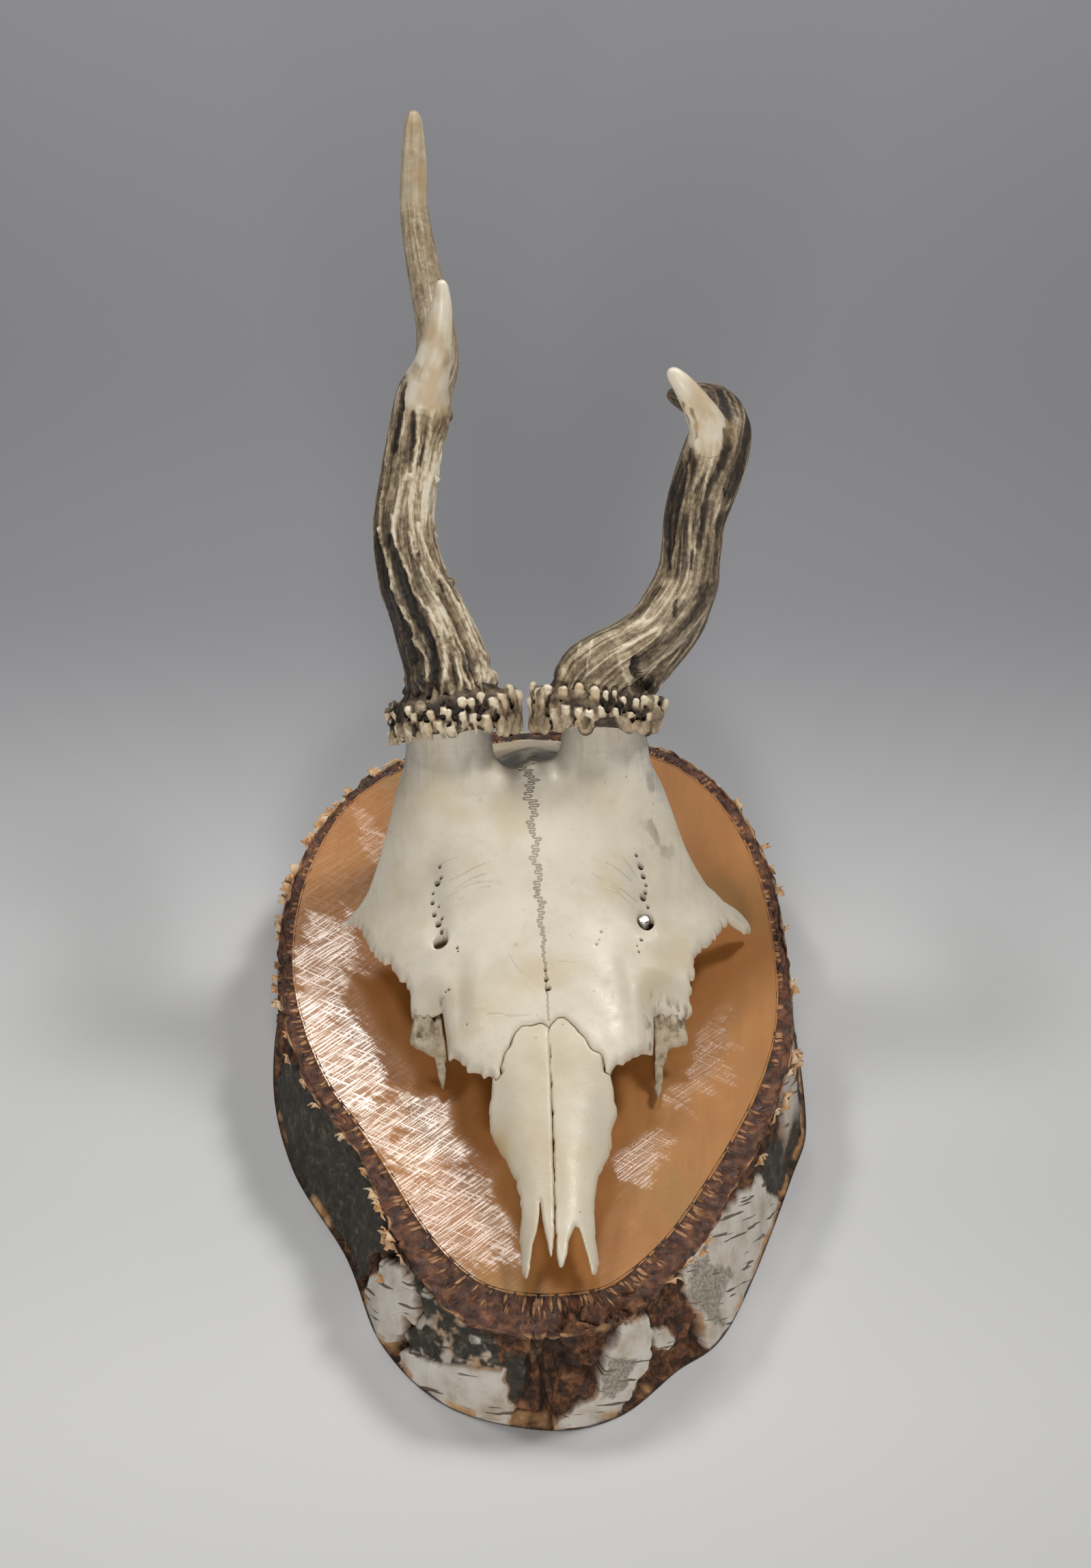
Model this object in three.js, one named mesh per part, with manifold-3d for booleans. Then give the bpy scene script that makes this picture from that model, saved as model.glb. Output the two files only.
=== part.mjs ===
// A roe buck's skull cap with odd antlers, on an oblique slice of birch trunk.
//
// Millimetres, +Z up. The plaque's flat back lies on the floor at z = 0, and the
// origin is the middle of that back. The nose points to -Y, so the animal's own
// left side is +X. One skull group carries the bones of the cap, turned a little
// on the plaque, and the antlers stand on the pedicles of the frontal bones.

import * as THREE from "three";
import { mergeVertices } from "three/addons/utils/BufferGeometryUtils.js";
import Module from "manifold-3d";

const wasm = await Module();
wasm.setup();

// ------------------------------------------------------------------ driving sizes

const GAP = 0.3; // kept between pieces that touch

const PLAQUE_THICKNESS = 20;
const BARK_ROUGHNESS = 0.8;
const RIM_SIDES = 60;

// The slice's rim: x and y on the face, x and y on the back, width of the bark.
// The trunk leans, so the back's outline lies about 15 mm nearer the nose.
const RIM = [
  [53, 8, 56, -8, 3.5],
  [50, -20, 52, -28, 5.5],
  [37, -52, 38.5, -66, 7],
  [26, -70, 27, -78, 8],
  [14, -82, 15, -89.5, 10.5],
  [-4, -85, 0, -93, 11.5],
  [-19, -79, -20, -87, 10.5],
  [-30, -63, -34, -71, 8],
  [-39, -38, -42, -48, 4.5],
  [-52, -15, -54, -24, 5],
  [-58, 14, -59, 2, 4],
  [-55, 44, -56, 32, 3.5],
  [-42, 70, -42, 56, 3],
  [-18, 85, -18, 70, 4.5],
  [14, 86, 14, 71, 4.5],
  [36, 74, 36, 60, 4],
  [49, 47, 51, 34, 3.5],
];

const NASION = [0.4, -18.9, PLAQUE_THICKNESS]; // where the skull's own frame sits
const SKULL_TURN = THREE.MathUtils.degToRad(2.7);
const SHELL = { nasal: 2, frontal: 3.2 }; // thickness of the bone in front
const CAP_HALF_WIDTH = 50;
const CAP_FRONT = -60;
const CAP_REAR = 62;
const CAP_HEIGHTS = [-1, 50]; // bottom and top of the prisms that cut out the bones

// Shape of the cap's upper surface at distances y behind the nasion: height of the
// midline, fall from the midline to the reference half width, and that half width.
const MIDLINE = [
  [-62, 8.5],
  [-45, 10.5],
  [-30, 13],
  [-15, 16],
  [0, 18.5],
  [15, 21],
  [30, 25],
  [45, 30.5],
  [57, 34],
  [66, 31.5],
  [80, 22],
  [88, 14.5],
  [95, 6],
  [97, 3],
];
const FALL = [
  [-62, 5],
  [-40, 6],
  [-25, 8.4],
  [0, 9],
  [30, 8.5],
  [45, 12.5],
  [62, 12.5],
];
const REFERENCE = [
  [-62, 9.5],
  [-50, 8.5],
  [-40, 10],
  [-25, 14],
  [-12, 20],
  [0, 30],
  [20, 30],
  [45, 33],
  [62, 33],
];
const FALL_POWER = 2.3;

// The braincase: half width at distances y, its roof follows the midline.
const BRAINCASE = [
  [40, 29],
  [60, 29.5],
  [72, 28],
  [80, 26],
  [88, 20.5],
  [94, 13],
  [97, 5],
];
const BRAINCASE_POWER = 2.4;
const CORONAL_SUTURE = 72;

// Outlines seen from above, in the skull's frame.
const FRONTAL_RIGHT = [
  [0, 62],
  [-25, 57],
  [-32.5, 47],
  [-35.5, 43],
  [-38, 42],
  [-42.5, 41.5],
  [-40, 40],
  [-37, 34.5],
  [-35, 28.5],
  [-31.5, 24.5],
  [-29, 20],
  [-28, 15.5],
  [-27.6, 12],
  [-21.2, 11],
  [-20.6, -1.5],
  [-18, -3.5],
  [-16.5, -5],
  [-11, -9.5],
  [-9.5, -5],
  [-7, 0],
  [-5, 2],
  [0, 2],
];
const FRONTAL_LEFT = [
  [0, 2],
  [3.5, 3.5],
  [5.5, 1.5],
  [9, -4],
  [11.5, -8.5],
  [14, -5.5],
  [15.5, -6],
  [17.5, -3],
  [22, -0.5],
  [22.4, 4.5],
  [22.6, 9],
  [24, 10.5],
  [29, 11],
  [31, 17],
  [31, 22],
  [34.5, 28],
  [38.5, 33.5],
  [40.5, 39],
  [43.5, 38.5],
  [46, 38],
  [43, 41],
  [38.5, 42.5],
  [33.5, 45.5],
  [25, 57],
  [0, 62],
];
const NASAL_RIGHT = [
  [0, 1.5],
  [-5, 1.5],
  [-7, -0.5],
  [-9.5, -5.5],
  [-11, -10.5],
  [-13, -16.5],
  [-11, -24.5],
  [-8, -32.5],
  [-7.3, -40],
  [-8, -50],
  [-6.7, -55.5],
  [-5, -48],
  [-3.4, -39],
  [-2.7, -46],
  [-1.7, -53],
  [-0.7, -44.5],
];
const NASAL_LEFT = [
  [0, 1.5],
  [-0.7, -44.5],
  [-0.5, -51.5],
  [0.1, -55],
  [2, -48],
  [3.7, -44.5],
  [5, -48.5],
  [6.5, -55],
  [8.2, -50],
  [7.7, -38],
  [10, -28],
  [12.2, -21],
  [13.5, -15],
  [11.3, -9],
  [9, -4.5],
  [5.5, 1],
  [3.5, 3],
];
const LACRIMAL_RIGHT = [
  [-27.3, 11.5],
  [-28.5, 8],
  [-27, 6.5],
  [-23.5, 4.5],
  [-22.8, 1.5],
  [-21.8, -1],
  [-21, 1],
  [-20.9, 4.4],
  [-21.4, 10.6],
];
const LACRIMAL_LEFT = [
  [28.7, 10.5],
  [30, 7.5],
  [29.5, 5.7],
  [25.5, 4.5],
  [24.3, 1.5],
  [23.6, -4],
  [22.6, -6],
  [22, -3],
  [22.7, 2.8],
  [23, 8.6],
  [24.2, 10],
];
// Each lacrimal slopes down towards the nose and outwards until it nears the
// plaque: height at its root, rise per millimetre to the rear, fall outwards.
const LACRIMAL = { root: [22, 11, 11], rise: 0.7, fall: 0.15, thickness: 2, lowest: 2.4 };

// Pedicles in the skull's frame: x, y, z and radius.
const PEDICLE_RIGHT = [
  [-20, 45.5, 14, 13],
  [-19.3, 51.5, 20, 12.4],
  [-18.7, 57.5, 25.8, 11.5],
  [-18, 63, 31, 9.8],
  [-17.6, 69.5, 37.4, 9],
  [-17.4, 74, 41.8, 9],
];
const PEDICLE_LEFT = [
  [17.2, 44, 14, 13],
  [16.6, 50, 20, 12.4],
  [16.2, 56, 25.8, 11.5],
  [15.4, 61.5, 31, 9.8],
  [15.2, 68.5, 38, 9],
  [15.1, 73, 42.4, 9],
];

// The nail through the left supraorbital foramen, and the foramina themselves.
const PIN = { x: 21.8, y: 28.5, radius: 1.25, top: 21.5, depth: 12 };
const FORAMINA = {
  left: { x: 21.8, y: 28.2, radius: 1.9 },
  right: { x: -21.2, y: 25.5, radius: 1.6 },
};

// Coronets: x, y, z of the middle, outer radius. Both lean back with the pedicles.
const CORONET_RIGHT = [-19.7, 51.9, 59.5, 14.5];
const CORONET_LEFT = [11, 52.7, 60.3, 14.7];
const CORONET_LEAN = new THREE.Vector3(0, 0.719, 0.695).normalize();
const CORONET_PROFILE = [
  [-5, 0.68],
  [-3.6, 0.9],
  [-1.2, 0.98],
  [1.4, 1],
  [3.8, 0.88],
  [5.2, 0.66],
];
const CORONET_PEARLS = 15;
const CORONET_SIDES = 45;

// Antlers: x, y, z and radius along each length.
const BEAM_RIGHT = [
  [-19.8, 51.9, 59.5, 9.2],
  [-21, 57.5, 66.5, 9.2],
  [-24.5, 64, 75, 8.2],
  [-28.5, 70, 84, 7.2],
  [-30, 76.5, 91.5, 6.6],
  [-29, 83.5, 98.5, 6.2],
  [-27.5, 91.5, 105, 5.9],
  [-26, 100, 107.5, 5.9],
  [-23.5, 109, 107.5, 5],
  [-23.5, 118.5, 108.5, 4.4],
  [-25, 128, 110.5, 4],
  [-27, 137, 115.5, 3.6],
  [-28.5, 145, 121.5, 3.2],
  [-28.5, 151.5, 129.5, 2.9],
  [-28.5, 157, 136, 2.1],
  [-28.5, 159.5, 138.5, 0.5],
];
const FRONT_TINE_RIGHT = [
  [-26.5, 93.5, 106.5, 4.5],
  [-25.5, 95.5, 112.5, 4.8],
  [-23.8, 96, 120, 4],
  [-22.6, 97.5, 126.5, 3.1],
  [-21.8, 99.3, 132, 2.4],
  [-21.7, 101.2, 136.8, 1.5],
  [-21.7, 101.9, 138.8, 0.5],
];
const RIDGE_LEFT = [
  [11, 52.7, 60.3, 9],
  [10, 54.5, 67, 8.4],
  [12.5, 56, 70.5, 7.2],
  [17.5, 59, 72, 6.4],
  [23, 63, 74, 6.2],
  [27.5, 67.5, 78.5, 6.6],
];
const STRUT_LEFT = [
  [15, 57, 57, 6],
  [18.5, 61, 60, 5.6],
  [22.3, 64.5, 63.3, 5.4],
  [26, 67, 67.5, 5.6],
  [28.8, 68.5, 73, 6],
  [30.3, 70.5, 80.5, 6.2],
];
const BEAM_LEFT = [
  [27.5, 67, 78.5, 6.6],
  [30, 70.5, 82, 6.6],
  [31, 74.5, 87, 6.5],
  [31.5, 78.5, 91, 6.6],
  [33, 82.5, 94.5, 7],
  [35, 86.5, 98.5, 7.2],
  [36.5, 90.5, 101, 7],
  [37.5, 95.5, 102, 6.3],
  [36.5, 104, 100, 5.2],
  [33.5, 110.5, 96.5, 4.2],
  [30, 114, 94.5, 3],
  [26.5, 115.5, 94.5, 0.8],
];
const FRONT_TINE_LEFT = [
  [35.5, 87.5, 102, 4.6],
  [34.5, 88, 108.5, 4.6],
  [32, 88.5, 114.5, 3.7],
  [29, 89.5, 119.5, 2.7],
  [26.6, 90.5, 122.2, 1.6],
  [25.7, 90.7, 123.3, 0.5],
];
const FORK_RIGHT = new THREE.Vector3(-26.4, 97.5, 107);
const FORK_LEFT = new THREE.Vector3(37.2, 96.5, 102);
const ANTLER_SIDES = 12;
const FLUTES = 4;
const FLUTE_DEPTH = 0.06;

// ---------------------------------------------------------------------- materials

function finish(color, roughness, metalness = 0) {
  return new THREE.MeshStandardMaterial({ color, roughness, metalness });
}

const boneFinish = finish(0xe9e2d0, 0.5);
const lacrimalFinish = finish(0xb9ab93, 0.7);
const coronetFinish = finish(0xb7a486, 0.45);
const antlerFinish = finish(0x6d5640, 0.45);
const ivoryFinish = finish(0xd9c7a3, 0.35);
const woodFinish = finish(0xb9752f, 0.35);
const barkFinish = finish(0x4a3a32, 0.75);
const steelFinish = finish(0x9a9a9a, 0.35, 1);

// ------------------------------------------------------------------------ helpers

const leftward = new THREE.Vector3(1, 0, 0);
const rearward = new THREE.Vector3(0, 1, 0);
const upward = new THREE.Vector3(0, 0, 1);

// Value at y from rows of [y, value], along a smooth curve through them.
function along(rows, y) {
  let i = 0;
  while (i < rows.length - 2 && y > rows[i + 1][0]) {
    i += 1;
  }
  const slope = (k) => {
    const before = rows[Math.max(k - 1, 0)];
    const after = rows[Math.min(k + 1, rows.length - 1)];
    return (after[1] - before[1]) / (after[0] - before[0]);
  };
  const span = rows[i + 1][0] - rows[i][0];
  const t = THREE.MathUtils.clamp((y - rows[i][0]) / span, 0, 1);
  const rise = t * t * (3 - 2 * t);
  const leave = t * (1 - t) * (1 - t) * span;
  const arrive = t * t * (t - 1) * span;
  const straight = rows[i][1] + (rows[i + 1][1] - rows[i][1]) * rise;
  return straight + leave * slope(i) + arrive * slope(i + 1);
}

// A closed body through rings of points, with a fan over each end.
function loft(rings) {
  const sides = rings[0].length;
  const points = rings.flat();
  const faces = [];
  for (let ring = 0; ring < rings.length - 1; ring += 1) {
    for (let side = 0; side < sides; side += 1) {
      const a = ring * sides + side;
      const b = ring * sides + ((side + 1) % sides);
      faces.push(a, b, b + sides, a, b + sides, a + sides);
    }
  }
  for (const [start, turned] of [[0, true], [(rings.length - 1) * sides, false]]) {
    const middle = points.length;
    const ring = points.slice(start, start + sides);
    points.push(ring.reduce((sum, p) => sum.add(p), new THREE.Vector3()).divideScalar(sides));
    for (let side = 0; side < sides; side += 1) {
      const a = start + side;
      const b = start + ((side + 1) % sides);
      faces.push(...(turned ? [b, a, middle] : [a, b, middle]));
    }
  }
  const geometry = new THREE.BufferGeometry().setFromPoints(points);
  geometry.setIndex(faces);
  return outward(geometry);
}

// Turns the faces over where they enclose a negative volume.
function outward(geometry) {
  const { position } = geometry.attributes;
  const index = geometry.index.array;
  const [a, b, c] = [new THREE.Vector3(), new THREE.Vector3(), new THREE.Vector3()];
  let volume = 0;
  for (let i = 0; i < index.length; i += 3) {
    a.fromBufferAttribute(position, index[i]);
    b.fromBufferAttribute(position, index[i + 1]);
    c.fromBufferAttribute(position, index[i + 2]);
    volume += a.dot(b.cross(c));
  }
  if (volume < 0) {
    for (let i = 0; i < index.length; i += 3) {
      [index[i], index[i + 1]] = [index[i + 1], index[i]];
    }
  }
  return geometry;
}

function solid(geometry) {
  const bare = geometry.clone();
  bare.deleteAttribute("normal");
  bare.deleteAttribute("uv");
  const merged = mergeVertices(bare);
  const mesh = new wasm.Mesh({
    numProp: 3,
    vertProperties: new Float32Array(merged.attributes.position.array),
    triVerts: new Uint32Array(merged.index.array),
  });
  return new wasm.Manifold(mesh);
}

// The biggest single body of a solid, as a geometry: slivers that a cut leaves go.
function geometryOf(shape) {
  const bodies = shape.decompose().sort((a, b) => b.volume() - a.volume());
  const mesh = bodies[0].getMesh();
  const geometry = new THREE.BufferGeometry();
  geometry.setAttribute("position", new THREE.BufferAttribute(mesh.vertProperties, 3));
  geometry.setIndex(new THREE.BufferAttribute(mesh.triVerts, 1));
  geometry.computeVertexNormals();
  return geometry;
}

function piece(name, shape, material) {
  const mesh = new THREE.Mesh(geometryOf(shape), material);
  mesh.name = name;
  return mesh;
}

// A tapering rod through stations of [x, y, z, radius], with shallow flutes.
function rod(stations, { grow = 0, flutes = FLUTE_DEPTH, sides = ANTLER_SIDES, steps = 2 } = {}) {
  const places = stations.map(([x, y, z]) => new THREE.Vector3(x, y, z));
  const path = new THREE.CatmullRomCurve3(places, false, "catmullrom");
  const radii = stations.map(([, , , radius], i) => [i, radius]);
  const count = (stations.length - 1) * steps;
  const across = leftward.clone();
  const rings = [];
  for (let step = 0; step <= count; step += 1) {
    const t = step / count;
    const centre = path.getPoint(t);
    const forward = path.getTangent(t);
    across.addScaledVector(forward, -across.dot(forward)).normalize();
    const up = new THREE.Vector3().crossVectors(forward, across);
    const radius = along(radii, t * (stations.length - 1));
    const ring = [];
    for (let side = 0; side < sides; side += 1) {
      const angle = (side / sides) * 2 * Math.PI;
      const reach = radius * (1 + flutes * Math.cos(FLUTES * angle + step * 0.25)) + grow;
      const point = centre.clone().addScaledVector(across, reach * Math.cos(angle));
      ring.push(point.addScaledVector(up, reach * Math.sin(angle)));
    }
    rings.push(ring);
  }
  return solid(loft(rings));
}

// An upright prism over an outline.
function prism(outline, bottom, top) {
  const shape = new THREE.Shape(outline.map(([x, y]) => new THREE.Vector2(x, y)));
  const geometry = new THREE.ExtrudeGeometry(shape, { depth: top - bottom, bevelEnabled: false });
  geometry.translate(0, 0, bottom);
  return solid(geometry);
}

// An upright cylinder.
function post(x, y, radius, bottom, top, sides = 16) {
  const geometry = new THREE.CylinderGeometry(radius, radius, top - bottom, sides);
  geometry.rotateX(Math.PI / 2);
  geometry.translate(x, y, (top + bottom) / 2);
  return solid(geometry);
}

// The part of a shape beyond a plane through a point, in the plane's direction.
function beyond(shape, point, direction, offset = 0) {
  return shape.trimByPlane(direction.toArray(), point.dot(direction) + offset);
}

// The part of a shape before that plane.
function before(shape, point, direction, offset = 0) {
  const back = direction.clone().negate();
  return shape.trimByPlane(back.toArray(), point.dot(back) + offset);
}

// ------------------------------------------------------------------------- plaque

// Points round the rim, between the face (depth 0) and the back (depth 1). The
// function inset gives how far each point lies inside the rim, by its place.
function rimRing(depth, inset) {
  const corners = RIM.map(([faceX, faceY, backX, backY]) => {
    const x = THREE.MathUtils.lerp(faceX, backX, depth);
    const y = THREE.MathUtils.lerp(faceY, backY, depth);
    return new THREE.Vector3(x, y, PLAQUE_THICKNESS * (1 - depth));
  });
  const path = new THREE.CatmullRomCurve3(corners, true, "catmullrom");
  const ring = [];
  for (let side = 0; side < RIM_SIDES; side += 1) {
    const place = side / RIM_SIDES;
    const forward = path.getTangent(place);
    const inward = new THREE.Vector3(forward.y, -forward.x, 0).normalize();
    ring.push(path.getPoint(place).addScaledVector(inward, inset(place, depth)));
  }
  return ring;
}

// The wall of the bark is uneven: bumps and hollows round the rim and down it.
function bumps(place, depth) {
  const around = Math.sin(114 * place + 3 * depth) + Math.sin(42 * place - 7 * depth);
  return BARK_ROUGHNESS * (0.5 + around / 4);
}

function barkWidth(place) {
  const widths = [...RIM, RIM[0]].map((row, i) => [i, row[4]]);
  return along(widths, place * RIM.length);
}

function plaque() {
  const levels = [0, 0.2, 0.4, 0.6, 0.8, 1];
  const outer = solid(loft(levels.map((depth) => rimRing(depth, bumps))));
  const hole = solid(loft([-0.1, 1.1].map((depth) => rimRing(depth, (place) => barkWidth(place) - GAP))));
  const core = solid(loft([0, 1].map((depth) => rimRing(depth, barkWidth))));
  const nailFoot = PLAQUE_THICKNESS - PIN.depth - GAP;
  const nailHole = post(...onPlaque(PIN.x, PIN.y), PIN.radius + GAP, nailFoot, PLAQUE_THICKNESS + 1);
  const group = new THREE.Group();
  group.add(piece("plaque_wood", core.subtract(nailHole), woodFinish));
  group.add(piece("plaque_bark", outer.subtract(hole), barkFinish));
  return group;
}

// Where a place in the skull's frame lies on the plaque.
function onPlaque(x, y) {
  const place = new THREE.Vector3(x, y, 0).applyAxisAngle(upward, SKULL_TURN);
  return [place.x + NASION[0], place.y + NASION[1]];
}

// -------------------------------------------------------------------------- skull

function capTop(x, y) {
  const outwards = Math.abs(x) / along(REFERENCE, y);
  return along(MIDLINE, y) - along(FALL, y) * outwards ** FALL_POWER;
}

// The cap is a thin shell over the orbits and nose, and solid under the braincase.
function capBottom(x, y) {
  const shell = THREE.MathUtils.lerp(
    SHELL.nasal, SHELL.frontal, THREE.MathUtils.smoothstep(y, -30, 5));
  const behind = THREE.MathUtils.smoothstep(y, 26, 36);
  const within = 1 - THREE.MathUtils.smoothstep(Math.abs(x), 24, 31);
  return Math.max(THREE.MathUtils.lerp(capTop(x, y) - shell, GAP, behind * within), GAP);
}

// A body between an upper and a lower surface, wider than the bones cut out of it.
function capSlab(top, bottom, halfWidth, front, rear, columns, rows) {
  const rings = [];
  for (let row = 0; row <= rows; row += 1) {
    const y = THREE.MathUtils.lerp(front, rear, row / rows);
    const over = [];
    const under = [];
    for (let column = 0; column <= columns; column += 1) {
      const x = THREE.MathUtils.lerp(-halfWidth, halfWidth, column / columns);
      const low = bottom(x, y);
      over.push(new THREE.Vector3(x, y, Math.max(top(x, y), low + GAP)));
      under.unshift(new THREE.Vector3(x, y, low));
    }
    rings.push([...over, ...under]);
  }
  return solid(loft(rings));
}

// The braincase roof: arched sections standing on the plaque.
function braincase(grow) {
  const sides = 22;
  const [[front], [rear]] = [BRAINCASE[0], BRAINCASE.at(-1)];
  const rings = [];
  for (let y = front; y <= rear; y += 3) {
    const halfWidth = along(BRAINCASE, y) + grow;
    const height = along(MIDLINE, y) - GAP + grow;
    const ring = [];
    for (let side = 0; side <= sides; side += 1) {
      const angle = (side / sides) * Math.PI;
      const x = Math.sign(Math.cos(angle)) * Math.abs(Math.cos(angle)) ** (2 / BRAINCASE_POWER);
      const z = Math.sin(angle) ** (2 / BRAINCASE_POWER);
      ring.push(new THREE.Vector3(halfWidth * x, y, GAP + height * z));
    }
    rings.push(ring);
  }
  return solid(loft(rings));
}

const suture = new THREE.Vector3(0, CORONAL_SUTURE, 0);

// What a solid keeps on one side of the midline: side is 1 for the left, -1 right.
function onSideOf(shape, side) {
  return beyond(shape, new THREE.Vector3(), leftward.clone().multiplyScalar(side), GAP / 2);
}

// Half of the forehead with its pedicle, cut off flat under the coronet.
function frontal(name, outline, pedicle, coronet, side, cap, roof) {
  const plate = cap.intersect(prism(outline, ...CAP_HEIGHTS));
  const roofHalf = before(roof, suture, rearward, GAP / 2);
  const lean = CORONET_LEAN.clone().applyAxisAngle(upward, -SKULL_TURN);
  const foot = toSkull(coronet).addScaledVector(lean, CORONET_PROFILE[0][0] - GAP);
  const stem = before(rod(pedicle, { flutes: 0, sides: 16 }), foot, lean);
  const half = onSideOf(plate.add(roofHalf).add(stem), side);
  const grounded = beyond(half, new THREE.Vector3(0, 0, GAP), upward);
  const parietal = beyond(braincase(GAP), suture, rearward, -GAP / 2);
  const foramen = FORAMINA[side > 0 ? "left" : "right"];
  const hole = post(foramen.x, foramen.y, foramen.radius, ...CAP_HEIGHTS);
  return piece(name, grounded.subtract(parietal).subtract(hole), boneFinish);
}

// A place on the plaque in the skull's frame.
function toSkull([x, y, z]) {
  const place = new THREE.Vector3(x, y, z).sub(new THREE.Vector3(...NASION));
  return place.applyAxisAngle(upward, -SKULL_TURN);
}

function nasal(name, outline, side, cap) {
  const plate = cap.intersect(prism(outline, ...CAP_HEIGHTS));
  return piece(name, onSideOf(plate, side), boneFinish);
}

function lacrimal(name, outline) {
  const { root, rise, fall, thickness, lowest } = LACRIMAL;
  const slope = (x, y) => root[2] + (y - root[1]) * rise - (Math.abs(x) - root[0]) * fall;
  const top = (x, y) => Math.max(slope(x, y), lowest);
  const bottom = (x, y) => top(x, y) - thickness;
  const slab = capSlab(top, bottom, CAP_HALF_WIDTH, -8, 14, 8, 4);
  return piece(name, slab.intersect(prism(outline, ...CAP_HEIGHTS)), lacrimalFinish);
}

function nail() {
  const shaft = post(PIN.x, PIN.y, PIN.radius, -PIN.depth, PIN.top, 20);
  return piece("pin_steel", shaft, steelFinish);
}

function skull() {
  const group = new THREE.Group();
  group.position.set(...NASION);
  group.rotation.z = SKULL_TURN;
  const cap = capSlab(capTop, capBottom, CAP_HALF_WIDTH, CAP_FRONT, CAP_REAR, 20, 28);
  const roof = braincase(0);
  group.add(frontal("frontal_right", FRONTAL_RIGHT, PEDICLE_RIGHT, CORONET_RIGHT, -1, cap, roof));
  group.add(frontal("frontal_left", FRONTAL_LEFT, PEDICLE_LEFT, CORONET_LEFT, 1, cap, roof));
  group.add(piece("parietal", beyond(roof, suture, rearward, GAP / 2), boneFinish));
  group.add(nasal("nasal_right", NASAL_RIGHT, -1, cap));
  group.add(nasal("nasal_left", NASAL_LEFT, 1, cap));
  group.add(lacrimal("lacrimal_right", LACRIMAL_RIGHT));
  group.add(lacrimal("lacrimal_left", LACRIMAL_LEFT));
  group.add(nail());
  return group;
}

// ------------------------------------------------------------------------ antlers

// The pearled ring at an antler's foot.
function coronet(name, [x, y, z, radius]) {
  const centre = new THREE.Vector3(x, y, z);
  const up = new THREE.Vector3().crossVectors(CORONET_LEAN, leftward);
  const rings = CORONET_PROFILE.map(([height, share], row) => {
    const ring = [];
    for (let side = 0; side < CORONET_SIDES; side += 1) {
      const angle = (side / CORONET_SIDES) * 2 * Math.PI;
      const pearl = 1 + 0.03 * Math.cos(CORONET_PEARLS * angle + row);
      const reach = radius * share * pearl;
      const point = centre.clone().addScaledVector(CORONET_LEAN, height);
      point.addScaledVector(leftward, reach * Math.cos(angle));
      ring.push(point.addScaledVector(up, reach * Math.sin(angle)));
    }
    return ring;
  });
  return piece(name, solid(loft(rings)), coronetFinish);
}

// Where an antler's beam starts, on top of its coronet.
function crown([x, y, z]) {
  const height = CORONET_PROFILE.at(-1)[0] + GAP;
  return new THREE.Vector3(x, y, z).addScaledVector(CORONET_LEAN, height);
}

// The right antler: a plain beam that forks into a front tine and a longer top.
function antlerRight() {
  const whole = rod(BEAM_RIGHT);
  const direction = new THREE.Vector3(0.1, 1, 0.15).normalize();
  const lower = before(whole, FORK_RIGHT, direction, GAP / 2);
  const beam = beyond(lower, crown(CORONET_RIGHT), CORONET_LEAN);
  const tine = rod(FRONT_TINE_RIGHT).subtract(rod(BEAM_RIGHT, { grow: GAP }));
  const group = new THREE.Group();
  group.add(coronet("antler_right_coronet", CORONET_RIGHT));
  group.add(piece("antler_right_beam", beam, antlerFinish));
  group.add(piece("antler_right_top", beyond(whole, FORK_RIGHT, direction, GAP / 2), ivoryFinish));
  group.add(piece("antler_right_front_tine", tine, ivoryFinish));
  return group;
}

// The left antler: a thick ridge in front and a strut behind it rise from the
// coronet and meet in the beam, which ends in a front tine and a hook.
function antlerLeft() {
  const whole = rod(BEAM_LEFT);
  const direction = new THREE.Vector3(-0.1, 1, 0).normalize();
  const lower = before(whole, FORK_LEFT, direction, GAP / 2);
  const beam = beyond(lower.add(rod(RIDGE_LEFT)).add(rod(STRUT_LEFT)), crown(CORONET_LEFT), CORONET_LEAN);
  const tine = rod(FRONT_TINE_LEFT).subtract(rod(BEAM_LEFT, { grow: GAP }));
  const group = new THREE.Group();
  group.add(coronet("antler_left_coronet", CORONET_LEFT));
  group.add(piece("antler_left_beam", beam, antlerFinish));
  group.add(piece("antler_left_hook", beyond(whole, FORK_LEFT, direction, GAP / 2), antlerFinish));
  group.add(piece("antler_left_front_tine", tine, ivoryFinish));
  return group;
}

// --------------------------------------------------------------------------- part

const part = new THREE.Group();
part.add(plaque(), skull(), antlerRight(), antlerLeft());

export default part;
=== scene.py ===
import math

import bmesh
import bpy
import numpy as np
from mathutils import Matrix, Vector


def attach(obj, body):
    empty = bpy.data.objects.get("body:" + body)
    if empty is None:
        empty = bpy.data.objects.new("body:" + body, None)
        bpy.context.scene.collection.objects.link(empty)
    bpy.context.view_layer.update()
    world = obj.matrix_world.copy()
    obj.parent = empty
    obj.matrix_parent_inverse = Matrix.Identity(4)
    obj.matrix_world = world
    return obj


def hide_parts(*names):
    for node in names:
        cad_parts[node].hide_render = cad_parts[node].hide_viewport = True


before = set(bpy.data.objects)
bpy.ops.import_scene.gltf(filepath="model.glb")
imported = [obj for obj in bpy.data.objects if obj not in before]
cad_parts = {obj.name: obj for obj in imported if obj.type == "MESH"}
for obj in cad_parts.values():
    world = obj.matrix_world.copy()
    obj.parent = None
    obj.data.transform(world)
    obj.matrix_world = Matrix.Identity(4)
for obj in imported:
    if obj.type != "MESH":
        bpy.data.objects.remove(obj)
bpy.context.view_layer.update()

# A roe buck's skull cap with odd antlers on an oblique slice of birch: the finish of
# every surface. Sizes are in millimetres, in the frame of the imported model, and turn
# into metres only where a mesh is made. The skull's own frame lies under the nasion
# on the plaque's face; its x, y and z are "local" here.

MM = 0.001
FAR = 6.0  # distance that stands for "nowhere near" in a field

# ------------------------------------------------------------------- driving sizes

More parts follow.
